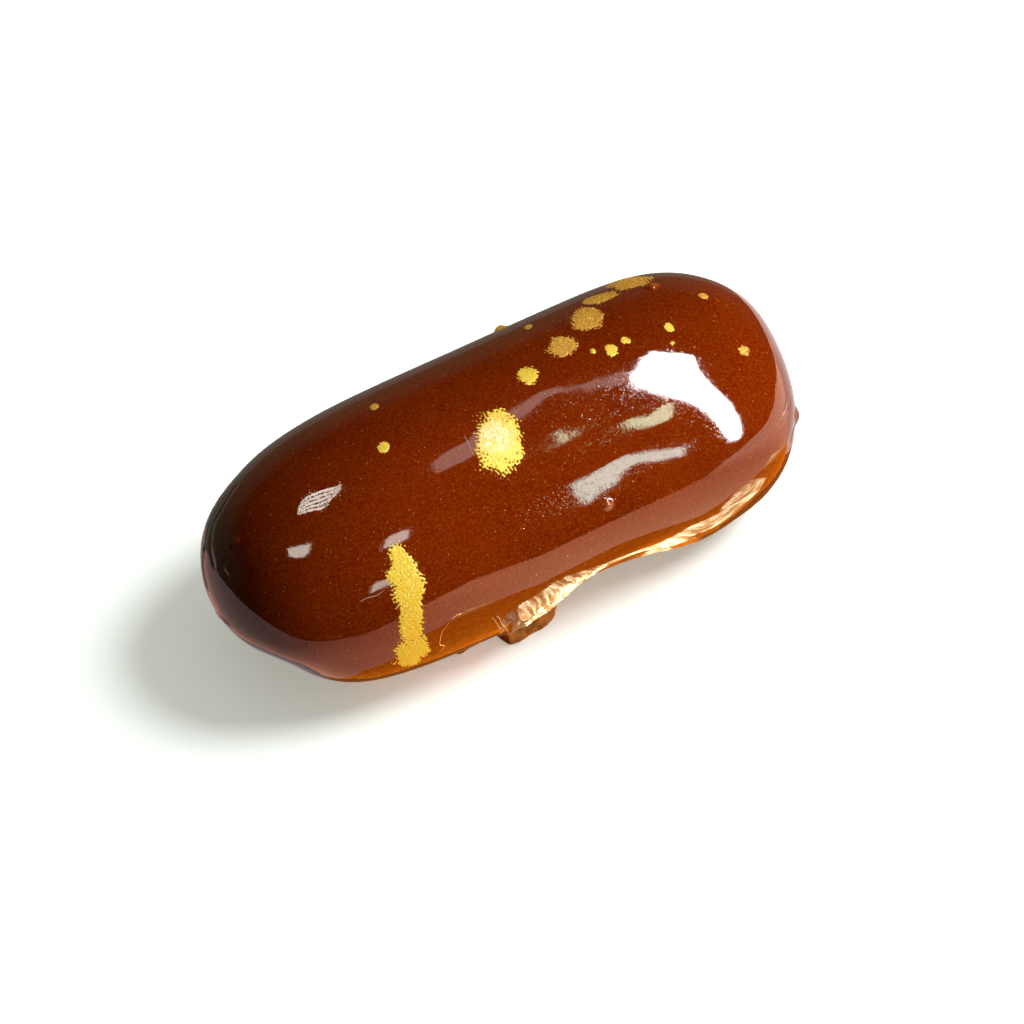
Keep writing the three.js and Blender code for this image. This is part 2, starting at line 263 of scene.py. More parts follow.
skin, rim = skin_grid(turn, spine, out, degrees, GLAZE_ROWS)
middle_x = (skin[..., 0].min() + skin[..., 0].max()) / 2.0
middle_y = (skin[..., 1].min() + skin[..., 1].max()) / 2.0
middle = np.array([middle_x, middle_y, 0.0])
print("skin, mm:", np.ptp(skin.reshape(-1, 3), axis=0).round(2), "middle", middle.round(2))

# %% [markdown]
# The photograph was taken from the front left, about fifty degrees above the table, with a long lens. The
# camera comes before the finishes, because the shine of a glaze only makes sense from one known eye point.
# Its aim is moved a little off the eclair, which frames the picture without shifting the lens.

# %% Camera
CAMERA_AZIMUTH = -31.3
CAMERA_ELEVATION = 50.0
CAMERA_DISTANCE = 0.55
FRAME_PIXELS = 1024
FOCAL_PIXELS = 4467.0
SENSOR_WIDTH = 36.0
AIM_HEIGHT = 0.013
AIM_RIGHT = 0.00144
AIM_UP = -0.00393

azimuth, elevation = math.radians(CAMERA_AZIMUTH), math.radians(CAMERA_ELEVATION)
to_camera = Vector((
    math.sin(azimuth) * math.cos(elevation),
    -math.cos(azimuth) * math.cos(elevation),
    math.sin(elevation),
))
picture_right = Vector((math.cos(azimuth), math.sin(azimuth), 0.0))
picture_up = to_camera.cross(picture_right)
aim = Vector((0.0, 0.0, AIM_HEIGHT)) - Vector(middle * MM)
aim += picture_right * AIM_RIGHT + picture_up * AIM_UP
camera_data = bpy.data.cameras.new("photo_camera")
camera_data.sensor_width = SENSOR_WIDTH
camera_data.lens = FOCAL_PIXELS / FRAME_PIXELS * SENSOR_WIDTH
camera = bpy.data.objects.new("photo_camera", camera_data)
camera.location = aim + to_camera * CAMERA_DISTANCE
camera.rotation_mode = "QUATERNION"
camera.rotation_quaternion = to_camera.to_track_quat("Z", "Y")
bpy.context.scene.collection.objects.link(camera)
bpy.context.scene.camera = camera
print("lens, mm:", round(camera_data.lens, 1))

# %% [markdown]
# Warm glaze that is poured over choux never sets quite flat. It keeps long, low waves, and it swells over
# every air bubble and crumb. The waves are a sum of plane waves with mixed directions from one seed, which
# repeats exactly and has no grid pattern. The bubbles and crumbs are small domes that are placed one by one,
# by how far along the finger they are and how far round from the crown, as degrees of roll towards the front.

# %% Waves, bubbles and crumbs in the glaze
WAVE_HEIGHT = 0.007
WAVE_LENGTH = 11.0
DIMPLE_HEIGHT = 0.0006
DIMPLE_LENGTH = 2.6
DOMES = {
    "pimple": (5.6, 66.0, 0.75, 0.40),
    "bubble": (26.3, -28.5, 1.05, 0.50),
    "back_lump": (8.6, -59.0, 0.9, 0.45),
    "far_end_lump": (36.2, 86.0, 1.5, 0.50),
    "near_end_crumb": (-35.7, -9.0, 0.60, 0.18),
    "near_end_crumb_two": (-36.6, -14.0, 0.45, 0.14),
    "near_end_crumb_three": (-38.0, -2.0, 0.60, 0.18),
}
CREASES = {
    "far_end_crease": ([(34.6, 68.0), (33.3, 69.0), (31.6, 70.0)], 0.60, 0.09),
    "far_end_dent": ([(34.6, 86.0), (33.6, 87.0)], 0.70, 0.22),
    "near_end_crease": (
        [(-31.6, -48.0), (-34.7, -46.0), (-36.0, -50.0), (-37.6, -44.0), (-38.6, -30.0)], 0.30, 0.10
    ),
    "near_end_fold": ([(-33.2, -52.0), (-35.4, -54.0), (-37.2, -56.0)], 0.30, 0.07),
    "near_end_wrinkle": ([(-37.6, -10.0), (-38.2, -2.0), (-38.4, 8.0)], 0.30, 0.08),
    "near_end_ledge": ([(-38.0, -63.0), (-38.7, -73.0), (-39.2, -84.0)], 0.38, -0.17),
    "near_end_ledge_low": ([(-39.7, -157.0), (-39.6, 150.0), (-39.4, 117.0)], 0.38, -0.17),
}
FINE_PLEATS = 0.014
FINE_PLEAT_PITCHES = (1.1, 1.7, 2.5)
RIM_LINES = [(0.75, 0.16, 0.045), (1.7, 0.28, 0.06), (2.9, 0.40, 0.05)]
RIM_LINE_START = -9.0
RIM_LINE_FULL = -6.5
RIM_WANDER = 0.25
RIM_WANDER_LENGTH = 9.0
RAGGED_FOOT = dict(push=1.1, along=-13.4, spread=4.6, fade_top=2.8, fade_bottom=0.6)
RAGGED_PITCHES = (1.9, 3.1, 4.7)
RAGGED_SHARE = 0.55
RAGGED_SCALLOP = 0.16
RAGGED_WRINKLE = 0.08
RAGGED_WRINKLE_LENGTH = 2.0
FOOT_CLEARANCE = 0.05


def plane_waves(points, length, count, seed):
    """A smooth random field of about unit height, whose humps are about half of length apart."""
    random = np.random.default_rng(seed)
    total = np.zeros(points.shape[:-1])
    for wave in range(count):
        direction = random.normal(size=3)
        direction *= 2.0 * np.pi / length / np.linalg.norm(direction)
        total += np.sin(points @ direction + random.uniform(0.0, 2.0 * np.pi))
    return total * math.sqrt(2.0 / count)


def grid_normals(grid):
    down = np.gradient(grid, axis=0)
    along = np.roll(grid, -1, axis=1) - np.roll(grid, 1, axis=1)
    normals = np.cross(down, along)
    normals[0] = (0.0, 0.0, 1.0)
    return normals / np.linalg.norm(normals, axis=-1, keepdims=True)


plain_skin = skin.copy()
plain_roll = np.degrees(np.arctan2(-plain_skin[..., 1], plain_skin[..., 2] - WIDEST_LEVEL))
roll_width = CROWN_RISE * math.pi / 180.0


def skin_place(along, roll):
    """The grid place on the skin that lies so far along and so far round."""
    miss = np.hypot(plain_skin[..., 0] - along, (plain_roll - roll) * roll_width)
    return np.unravel_index(np.argmin(miss), miss.shape)


def distance_to_line(points, corners):
    nearest = np.full(points.shape[:-1], np.inf)
    for start, end in zip(corners[:-1], corners[1:]):
        step = end - start
        share = np.clip(((points - start) @ step) / (step @ step), 0.0, 1.0)
        gap = np.linalg.norm(points - start - share[..., None] * step, axis=-1)
        nearest = np.minimum(nearest, gap)
    return nearest


lift = WAVE_HEIGHT * plane_waves(plain_skin, WAVE_LENGTH, 40, 3)
lift += DIMPLE_HEIGHT * plane_waves(plain_skin, DIMPLE_LENGTH, 40, 4)
for along, roll, radius, height in DOMES.values():
    gap = np.linalg.norm(plain_skin - plain_skin[skin_place(along, roll)], axis=-1)
    lift += height * np.clip(1.0 - (gap / radius) ** 2, 0.0, 1.0) ** 1.5
for places, width, depth in CREASES.values():
    corners = [plain_skin[skin_place(*place)] for place in places]
    lift -= depth * bell(distance_to_line(plain_skin, corners), 0.0, width)
skin_x, skin_z = plain_skin[..., 0], plain_skin[..., 2]
pleat_waves = sum(
    np.sin(2.0 * np.pi * skin_x / pitch + 2.0 * pitch * skin_z) for pitch in FINE_PLEAT_PITCHES
)
on_front = plain_skin[..., 1] < 0
lift += FINE_PLEATS * on_front * flap_along(skin_x) * flap_down(skin_z - 1.0) * pleat_waves
above_edge = np.linalg.norm(plain_skin - plain_skin[-1][None], axis=-1)
wander = RIM_WANDER * plane_waves(plain_skin, RIM_WANDER_LENGTH, 30, 5)
for place, width, depth in RIM_LINES:
    along_rim = ramp(RIM_LINE_START, RIM_LINE_FULL, skin_x) * on_front
    lift += depth * bell(above_edge, place + wander, width) * along_rim
scallops = sum(np.sin(2.0 * np.pi * skin_x / pitch + pitch) for pitch in RAGGED_PITCHES)
scallops = np.clip(RAGGED_SHARE + RAGGED_SCALLOP * scallops, 0.0, 1.0)
wrinkles = RAGGED_WRINKLE * plane_waves(plain_skin, RAGGED_WRINKLE_LENGTH, 40, 6)
lift += on_front * front_swelling(RAGGED_FOOT, skin_x, skin_z) * (scallops + wrinkles)
half_turn = (-np.arange(GLAZE_COLUMNS)) % GLAZE_COLUMNS
lift[0] = (lift[0] + lift[0][half_turn]) / 2.0
skin = plain_skin + grid_normals(plain_skin) * lift[..., None]
skin[..., 2] = np.maximum(skin[..., 2], FOOT_CLEARANCE)
print("lift of the glaze, mm:", round(lift.min(), 2), "to", round(lift.max(), 2))

# %% [markdown]
# Where glaze stops it draws itself up into a rounded bead, thicker than the film above it, and it is thinner
# where it was pulled out into the skirt. The bead is a few more rows of the grid that turn under and go back
# inside. Below them the mesh closes over the choux, so that it is one solid skin with no open edge.

# %% Mesh helpers and the glaze
RIM_BEAD = [
    (0.02, -0.13), (0.12, -0.26), (0.30, -0.33), (0.50, -0.28), (0.68, -0.14), (0.82, 0.08), (1.1, 0.45),
    (1.6, 0.8),
]
RIM_SWELL = 0.16
RIM_SWELL_LEVEL = 0.25
RIM_SWELL_HEIGHT = 0.9
CEILING_RISE = 2.0
LEAST_RIM_REACH = 8.0


def mesh_piece(name, vertices, faces, material_slot, smooth=True):
    mesh = bpy.data.meshes.new(name)
    mesh.from_pydata(((np.asarray(vertices) - middle) * MM).tolist(), [], faces)
    mesh.polygons.foreach_set("use_smooth", [smooth] * len(mesh.polygons))
    piece = bpy.data.objects.new(name, mesh)
    bpy.context.scene.collection.objects.link(piece)
    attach(piece, "root")
    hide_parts("eclair")
    print(name, "has", len(mesh.polygons), "faces")
    return piece


def lathe(grid):
    """Vertices and faces of a closed skin whose first and last rows lie on the spine."""
    rows, columns = grid.shape[:2]
    half = columns // 2 + 1
    facing = np.minimum(np.arange(columns), (-np.arange(columns)) % columns)
    index = np.empty((rows, columns), int)
    index[0] = facing
    index[1:-1] = half + np.arange((rows - 2) * columns).reshape(rows - 2, columns)
    index[-1] = half + (rows - 2) * columns + facing
    vertices = np.concatenate([grid[0, :half], grid[1:-1].reshape(-1, 3), grid[-1, :half]])
    a, b = index[:-1], index[1:]
    c, d = np.roll(b, -1, axis=1), np.roll(a, -1, axis=1)
    quads = np.stack([a, b, c, d], axis=-1).reshape(-1, 4).tolist()
    return vertices, [tuple(dict.fromkeys(quad)) for quad in quads]


edge = skin[-1]
edge_reach = np.linalg.norm((edge - np.stack([spine, 0 * spine, edge[:, 2]], axis=-1)), axis=-1)
room = np.minimum(1.0, edge_reach / LEAST_RIM_REACH)
above_edge = np.linalg.norm(skin - edge[None], axis=-1)
swell = RIM_SWELL * bell(above_edge, RIM_SWELL_LEVEL, RIM_SWELL_HEIGHT / 2.0) * room
skin = skin + out[None] * swell[..., None]
edge = skin[-1]
bead_rows = []
for set_in, rise in RIM_BEAD:
    row = edge - out * (set_in * room)[:, None]
    row[:, 2] = np.maximum(edge[:, 2] + rise, FOOT_CLEARANCE)
    bead_rows.append(row)
ceiling = np.stack([spine, np.zeros(GLAZE_COLUMNS), np.full(GLAZE_COLUMNS, rim.max() + CEILING_RISE)], axis=-1)
glaze_grid = np.concatenate([skin, np.array(bead_rows), ceiling[None]])
glaze_vertices, glaze_faces = lathe(glaze_grid)
glaze = mesh_piece("glaze", glaze_vertices, glaze_faces, "glaze")
glaze_tree = BVHTree.FromPolygons(glaze_vertices.tolist(), glaze_faces)

# %% [markdown]
# Below the glaze the choux shows: a dry baked crust, set back under the rim, with the cracks and blisters
# that steam leaves. It is its own solid, finished all the way round, and it reaches up inside the glaze so
# that no gap opens between them. Its roughness is real relief on a fine grid, since it is seen from the side.

# %% Choux base
CHOUX_COLUMNS = 420
CHOUX_ROWS = 20
CHOUX_SKIN_ROWS = 30
CHOUX_SET_IN = 2.1
CHOUX_TOE_SET_IN = 3.0
CHOUX_LEAN = 0.32
LUMP = dict(push=3.3, start=-9.6, full=-8.0, fading=-1.0, end=4.0)
CHOUX_RELIEF = 0.16
CHOUX_CRACK = 0.12


def smooth_path(points, count):
    """Even steps along a line of control points, softened with a Catmull-Rom curve."""
    points = np.asarray(points, float)
    padded = np.concatenate([points[:1] * 2 - points[1:2], points, points[-1:] * 2 - points[-2:-1]])
    steps = np.linspace(0.0, len(points) - 1 - 1e-9, count)
    span = steps.astype(int)
    t = (steps - span).reshape((-1,) + (1,) * (points.ndim - 1))
    a, b, c, d = (padded[span + k] for k in range(4))
    return 0.5 * (2 * b + (c - a) * t + (2 * a - 5 * b + 4 * c - d) * t ** 2 + (3 * b - a - 3 * c + d) * t ** 3)


c_turn, c_spine, c_out, c_degrees = make_columns(CHOUX_COLUMNS)
c_skin, c_rim = skin_grid(c_turn, c_spine, c_out, c_degrees, CHOUX_SKIN_ROWS)
c_edge = c_skin[-1]
c_reach = np.hypot(c_edge[:, 0] - c_spine, c_edge[:, 1])
c_room = np.minimum(1.0, c_reach / LEAST_RIM_REACH)
lump_end = 1.0 - ramp(LUMP["fading"], LUMP["end"], c_edge[:, 0])
lump_along = ramp(LUMP["start"], LUMP["full"], c_edge[:, 0]) * lump_end
lump = np.where(c_edge[:, 1] < 0, LUMP["push"] * lump_along, 0.0)
toe = CHOUX_TOE_SET_IN + CHOUX_LEAN * c_rim - lump


def choux_ring(set_in, height):
    reach = c_reach - set_in * c_room
    return np.stack([c_spine + c_out[:, 0] * reach, c_out[:, 1] * reach, height + 0 * reach], axis=-1)


shoulder = c_rim + 0.7
profile = [
    choux_ring(CHOUX_SET_IN + 0.6, c_rim + 2.0),
    choux_ring(CHOUX_SET_IN, 0.9 * shoulder),
    choux_ring(0.45 * CHOUX_SET_IN + 0.55 * toe, 0.4 * shoulder),
    choux_ring(toe, 0.12 * np.ones(CHOUX_COLUMNS)),
    choux_ring(toe + 0.5, 0.0 * toe),
]
side = smooth_path(np.array(profile), CHOUX_ROWS)
craggy = plane_waves(side, 1.7, 50, 11) + 0.6 * plane_waves(side, 0.8, 50, 12)
cracks = np.clip(1.0 - np.abs(plane_waves(side, 2.6, 30, 13)) / 0.25, 0.0, 1.0)
relief = CHOUX_RELIEF * craggy - CHOUX_CRACK * cracks
relief *= ramp(0.0, 0.5, side[..., 2])
side = side + c_out[None] * (relief * c_room)[..., None]
side[..., 2] = np.maximum(side[..., 2], 0.0)
top = np.stack([c_spine, 0 * c_spine, np.full(CHOUX_COLUMNS, c_rim.max() + 4.0)], axis=-1)
sole = np.stack([c_spine, 0 * c_spine, 0 * c_spine], axis=-1)
choux_grid = np.concatenate([top[None], side, sole[None]])
choux = mesh_piece("choux_base", *lathe(choux_grid), "choux")

# %% [markdown]
# At the front left of the skirt the glaze tore as it set, and left two strands that hang side by side. There
# are hair-thin scratches on the glaze too, left by a brush or a fingernail, and fine lines of gold. All of
# these are threads: a round bead that follows a short line, thicker in its middle and drawn out at both ends.
# One function makes them, so that a line can be moved by its places alone.

# %% Torn strands, scratches and gold lines
THREAD_SIDES = 8
THREAD_LEAN = (0.3, -0.8, 0.52)
THREAD_POINT = 0.12
TEAR_STEPS = 30
LINE_STEPS = 24
TEARS = {
    "tear_left": ([(-11.7, 12.2), (-11.3, 11.2), (-10.6, 9.4), (-9.8, 7.6), (-9.0, 5.8)], 0.13),
    "tear_right": ([(-11.4, 12.3), (-10.8, 11.4), (-10.2, 9.8), (-9.5, 7.9), (-8.8, 6.2), (-8.4, 4.9)], 0.15),
}
SCRATCHES = {
    "scratch_front": ([(-27.3, 62.0), (-26.4, 61.5), (-25.4, 61.0), (-24.4, 60.0)], 0.07),
    "scratch_crown": ([(-6.7, 11.0), (-6.9, 15.0), (-7.1, 19.0), (-7.1, 22.0)], 0.06),
    "scratch_far_end": ([(34.2, 66.0), (33.2, 68.0), (31.8, 69.0)], 0.10),
}
GOLD_LINES = {
    "arc": ([(-17.4, 87.0), (-18.5, 91.0), (-18.6, 98.0), (-18.2, 102.0), (-19.0, 108.0)], 0.06),
    "arc_high": ([(-15.8, 84.0), (-16.6, 84.5), (-17.2, 86.0)], 0.05),
}


def thread(path, radius):
    """A tapered tube along a path, as vertices and faces."""
    ahead = np.gradient(path, axis=0)
    ahead /= np.linalg.norm(ahead, axis=-1, keepdims=True)
    side = np.cross(ahead, THREAD_LEAN)
    side /= np.linalg.norm(side, axis=-1, keepdims=True)
    up = np.cross(side, ahead)
    thick = radius * np.sin(np.linspace(THREAD_POINT, math.pi - THREAD_POINT, len(path))) ** 0.6
    angle = np.arange(THREAD_SIDES) * 2.0 * math.pi / THREAD_SIDES
    ring = side[:, None] * np.cos(angle)[None, :, None] + up[:, None] * np.sin(angle)[None, :, None]
    tube = path[:, None] + ring * thick[:, None, None]
    vertices = np.concatenate([tube.reshape(-1, 3), path[:1], path[-1:]])
    faces = []
    for step in range(len(path) - 1):
        for k in range(THREAD_SIDES):
            a, b = step * THREAD_SIDES + k, step * THREAD_SIDES + (k + 1) % THREAD_SIDES
            faces.append((a, a + THREAD_SIDES, b + THREAD_SIDES, b))
    last = (len(path) - 1) * THREAD_SIDES
    for k in range(THREAD_SIDES):
        after = (k + 1) % THREAD_SIDES
        faces.append((len(vertices) - 2, k, after))
        faces.append((len(vertices) - 1, last + after, last + k))
    return vertices, faces


def join(parts):
    vertices, faces, count = [], [], 0
    for part_vertices, part_faces in parts:
        vertices.append(part_vertices)
        faces += [tuple(count + corner for corner in face) for face in part_faces]
        count += len(part_vertices)
    return np.concatenate(vertices), faces


END_HEART = 9.0
END_LEAN = 1.6
OUTSIDE = 60.0


def on_glaze(along, roll):
    """The point on the finished glaze at a place along and a roll, and the way out of it."""
    angle = math.radians(roll)
    away = Vector((0.0, -math.sin(angle), math.cos(angle)))
    reach = min(abs(along), HALF_LENGTH - END_HEART) * (1.0 if along > 0 else -1.0)
    heart = Vector((reach, 0.0, WIDEST_LEVEL))
    away = (away * CROWN_RISE + Vector((along - reach, 0.0, 0.0)) * END_LEAN).normalized()
    point, normal, face, distance = glaze_tree.ray_cast(heart + away * OUTSIDE, -away)
    if point is None:
        return None, None
    return np.array(point), np.array(normal)


def surface_point(along, roll):
    row, column = skin_place(along, roll)
    return skin[row, column]


def surface_threads(lines):
    """One thread for each line of places on the glaze."""
    return [
        thread(smooth_path([surface_point(*place) for place in line], LINE_STEPS), radius)
        for line, radius in lines
    ]


def front_point(x, z):
    """The point of the front side of the glaze at a place along and a height."""
    miss = np.hypot(skin[..., 0] - x, skin[..., 2] - z) + np.where(skin[..., 1] < 0, 0.0, HALF_LENGTH)
    return skin[np.unravel_index(np.argmin(miss), miss.shape)]


threads = []
for line, radius in TEARS.values():
    threads.append(thread(smooth_path([front_point(*place) for place in line], TEAR_STEPS), radius))
glaze_threads = mesh_piece("glaze_threads", *join(threads), "glaze")
scratches = mesh_piece("scratches", *join(surface_threads(SCRATCHES.values())), "glaze")
gold_lines = mesh_piece("gold_lines", *join(surface_threads(GOLD_LINES.values())), "gold")

# %% [markdown]
# The gold is dry lustre dust, flicked on with a wet brush. Where a drop landed it dried as a thin crust with
# a ragged, grainy edge. A crust is a patch of fine grid that follows the glaze: where a random grain field
# plus the shape of the splash is above zero the patch stands proud, and elsewhere it sinks out of sight. The
# ragged edge, the pinholes and the droplets round it all come from that one rule. A flat decal would need a
# picture, and would look printed.

# %% Gold crusts
CRUST_STEP = 0.11
CRUST_GRAIN = 0.42
CRUST_PROUD = 0.07
CRUST_SUNK = -0.07
CRUST_HIDDEN = -0.35
CRUST_MARGIN = 1.35
CRUST_BORDER = 0.3
CRUST_LUMP = 0.10
CRUST_LUMP_LENGTH = 2.4
CRUST_RAGGED = 0.45
CRUST_SLOPE = 0.55
CRUST_ROOT = 1.6
ONE_LOBE = [(0.0, 0.0, 1.0, 1.0)]
SPLASHES = {
    "crown": dict(along=-3.4, roll=20.0, long=8.2, wide=5.5, turn=30.0, ragged=0.30),
    "run": dict(along=-21.9, roll=76.0, long=15.2, wide=4.6, turn=8.0, ragged=0.26,
                lobes=[(0.52, 0.02, 0.50, 0.84), (0.0, 0.0, 0.72, 0.62), (-0.72, -0.20, 0.34, 0.95)]),
    "pool": dict(along=10.9, roll=-13.0, long=3.8, wide=3.4, turn=31.0, ragged=0.24),
    "pool_two": dict(along=16.2, roll=-24.0, long=4.9, wide=3.7, turn=31.0, ragged=0.24),
    "pool_three": dict(along=20.0, roll=-36.5, long=4.2, wide=2.6, turn=-76.0, ragged=0.24),
    "pool_four": dict(along=25.1, roll=-44.0, long=5.2, wide=4.9, turn=20.0, ragged=0.22),
    "drop": dict(along=4.7, roll=-5.0, long=2.6, wide=2.2, turn=20.0, ragged=0.30),
    "star": dict(along=15.5, roll=2.0, long=1.8, wide=1.4, turn=30.0, ragged=0.30),
    "chip": dict(along=17.9, roll=0.0, long=1.3, wide=1.1, turn=0.0, ragged=0.25),
    "chip_two": dict(along=13.5, roll=-2.0, long=0.8, wide=0.7, turn=0.0, ragged=0.15),
    "chip_three": dict(along=23.7, roll=3.0, long=1.4, wide=1.1, turn=0.0, ragged=0.20),
    "chip_four": dict(along=22.7, roll=12.0, long=0.8, wide=0.6, turn=30.0, ragged=0.10),
    "chip_five": dict(along=30.5, roll=-10.0, long=1.3, wide=0.8, turn=0.0, ragged=0.25),
    "chip_six": dict(along=30.5, roll=30.0, long=1.6, wide=1.1, turn=0.0, ragged=0.25),
    "near_chip": dict(along=-15.9, roll=-2.0, long=1.7, wide=1.4, turn=30.0, ragged=0.20),
    "near_chip_two": dict(along=-13.1, roll=-30.0, long=1.5, wide=1.0, turn=30.0, ragged=0.10),
    "back_chip": dict(along=10.1, roll=-39.0, long=1.4, wide=1.0, turn=30.0, ragged=0.10),
    "back_cap": dict(along=8.6, roll=-59.0, long=1.5, wide=1.3, turn=0.0, ragged=0.10),
}
THICK_SPLASHES = ("crown", "run", "drop", "star", "chip", "chip_two", "chip_three", "chip_four", "near_chip")


def splash_place(splash, long, wide):
    """Along and roll of a spot that is so far along the splash's own two axes, in mm."""
    turned = math.radians(splash["turn"])
    along = splash["along"] + wide * math.cos(turned) - long * math.sin(turned)
    girth = long * math.cos(turned) + wide * math.sin(turned)
    return along, splash["roll"] + math.degrees(girth / CROWN_RISE)


def splash_shape(splash, long, wide):
    """Above zero inside the splash, zero on its outline, and falling off outside."""
    best = np.full(np.shape(long), -9.0)
    for middle_long, middle_wide, half_long, half_wide in splash.get("lobes", ONE_LOBE):
        u = (2.0 * long / splash["long"] + middle_long) / half_long
        v = (2.0 * wide / splash["wide"] + middle_wide) / half_wide
        best = np.maximum(best, 1.0 - np.hypot(u, v))
    return best


def crust(splash, seed):
    half_long = splash["long"] * 0.5 * CRUST_MARGIN + CRUST_BORDER
    half_wide = splash["wide"] * 0.5 * CRUST_MARGIN + CRUST_BORDER
    rows = max(8, round(2.0 * half_long / CRUST_STEP))
    columns = max(8, round(2.0 * half_wide / CRUST_STEP))
    long, wide = np.meshgrid(
        np.linspace(-half_long, half_long, rows), np.linspace(-half_wide, half_wide, columns), indexing="ij"
    )
    spots = np.stack([long, wide, np.zeros_like(long)], axis=-1)
    lumps = plane_waves(spots, CRUST_LUMP_LENGTH, 30, seed) * CRUST_LUMP
    grains = plane_waves(spots, CRUST_GRAIN, 60, seed + 1)
    field = splash_shape(splash, long, wide) + lumps + splash["ragged"] * grains * CRUST_RAGGED
    height = np.clip(field * CRUST_SLOPE, CRUST_SUNK, CRUST_PROUD * (0.70 + 0.14 * grains))
    border = np.zeros_like(height, bool)
    border[0] = border[-1] = border[:, 0] = border[:, -1] = True
    height = np.where(border, CRUST_HIDDEN, height)
    points = np.zeros(spots.shape)
    for row in range(rows):
        for column in range(columns):
            place = splash_place(splash, long[row, column], wide[row, column])
            point, normal = on_glaze(*place)
            if point is None:
                return None
            points[row, column] = point + normal * height[row, column]
    index = np.arange(rows * columns).reshape(rows, columns)
    quads = np.stack([index[:-1, :-1], index[1:, :-1], index[1:, 1:], index[:-1, 1:]], axis=-1)
    rim_loop = [*index[0, :-1], *index[:-1, -1], *index[-1, :0:-1], *index[:0:-1, 0]]
    floor_point, floor_normal = on_glaze(splash["along"], splash["roll"])
    vertices = np.concatenate([points.reshape(-1, 3), [floor_point - floor_normal * CRUST_ROOT]])
    faces = [tuple(quad) for quad in quads.reshape(-1, 4).tolist()]
    for a, b in zip(rim_loop, rim_loop[1:] + rim_loop[:1]):
        faces.append((int(a), int(b), rows * columns))
    return vertices, faces


thick_crusts, thin_crusts = [], []
for order, (name, splash) in enumerate(SPLASHES.items()):
    made = crust(splash, 100 + 7 * order)
    if made is None:
        print("no room for", name)
        continue
    (thick_crusts if name in THICK_SPLASHES else thin_crusts).append(made)
gold_crust_thick = mesh_piece("gold_crust_thick", *join(thick_crusts), "gold")
gold_crust_thin = mesh_piece("gold_crust_thin", *join(thin_crusts), "gold")

# %% [markdown]
# Round each splash, and thinly over the whole eclair, single flakes of the dust lie on the glaze. A flake is
# a flat six-sided grain, as mica is, tipped at random so that a few of them always catch the light. They are
# real mesh, laid in one piece for each kind, because particles would be lost when the model is exported.

# %% Gold grains and flecks
GRAINS = 5200
FLECKS = 420
GRAIN_SIDES = 6
GRAIN_SPREAD = 0.31
GRAIN_CROWDING = 0.85
GRAIN_FALL_OFF = 10.0
CRUST_GRAIN_RADII = (0.04, 0.09)
LOOSE_GRAIN_RADII = (0.030, 0.060)
LOOSE_GRAIN_PROUD = 0.01
WELL_INSIDE = 0.1
FLECK_SHARE = 0.6
FLECK_FAN = 2.2
FLECK_LEAST = 0.025
FLECK_RANGE = 0.05
FLECK_TIP = 0.3


def flakes(centres, normals, radii, seed, tip=0.5, sides=GRAIN_SIDES, thickness=0.35):
    """Flat many-sided grains on a surface, each tipped its own way."""
    random = np.random.default_rng(seed)
    count = len(centres)
    tipped = normals + tip * random.normal(size=(count, 3))
    tipped /= np.linalg.norm(tipped, axis=-1, keepdims=True)
    side = np.cross(tipped, random.normal(size=(count, 3)))
    side /= np.linalg.norm(side, axis=-1, keepdims=True)
    across = np.cross(tipped, side)
    angle = np.arange(sides) * 2.0 * math.pi / sides
    reach = radii[:, None] * random.uniform(0.7, 1.15, (count, sides))
    sideways = side[:, None] * (np.cos(angle) * reach)[..., None]
    ring = centres[:, None] + (sideways + across[:, None] * (np.sin(angle) * reach)[..., None])
    peak = centres + tipped * (thickness * radii)[:, None]
    root = centres - tipped * (thickness * radii)[:, None]
    vertices = np.concatenate([ring, peak[:, None], root[:, None]], axis=1)
    pattern = []
    for k in range(sides):
        after = (k + 1) % sides
        pattern += [(sides, k, after), (sides + 1, after, k)]
    base = np.arange(count)[:, None, None] * (sides + 2)
    faces = (np.array(pattern)[None] + base).reshape(-1, 3)
    return vertices.reshape(-1, 3), [tuple(face) for face in faces.tolist()]


random = np.random.default_rng(21)
weights = np.array([splash["long"] * splash["wide"] for splash in SPLASHES.values()])
weights = weights ** GRAIN_CROWDING / (weights ** GRAIN_CROWDING).sum()
centres, normals, radii = [], [], []
splash_list = list(SPLASHES.values())
while len(centres) < GRAINS:
    splash = splash_list[random.choice(len(splash_list), p=weights)]
    long = random.normal() * splash["long"] * GRAIN_SPREAD
    wide = random.normal() * splash["wide"] * GRAIN_SPREAD
    inside = float(splash_shape(splash, np.array(long), np.array(wide)))
    if inside < 0 and random.random() > math.exp(GRAIN_FALL_OFF * inside):
        continue
    point, normal = on_glaze(*splash_place(splash, long, wide))
    if point is None:
        continue
    radius = random.uniform(*(CRUST_GRAIN_RADII if inside > 0 else LOOSE_GRAIN_RADII))
    centres.append(point + normal * (0.5 * CRUST_PROUD if inside > WELL_INSIDE else LOOSE_GRAIN_PROUD))
    normals.append(normal)
    radii.append(radius)
gold_grains = mesh_piece(
    "gold_grains", *flakes(np.array(centres), np.array(normals), np.array(radii), 22), "gold", smooth=False
)

skin_normals = grid_normals(skin)
rows = random.integers(1, GLAZE_ROWS - 4, FLECKS * 3)
columns = random.integers(0, GLAZE_COLUMNS, FLECKS * 3)
spread = np.sin(rows / GLAZE_ROWS * FLECK_FAN)
kept = np.nonzero(random.random(FLECKS * 3) < spread * FLECK_SHARE)[0][:FLECKS]
fleck_radii = FLECK_LEAST + FLECK_RANGE * random.random(len(kept)) ** 3
fleck_centres = skin[rows[kept], columns[kept]]
fleck_normals = skin_normals[rows[kept], columns[kept]]
gold_flecks = mesh_piece(
    "gold_flecks", *flakes(fleck_centres, fleck_normals, fleck_radii, 23, FLECK_TIP), "gold", smooth=False
)

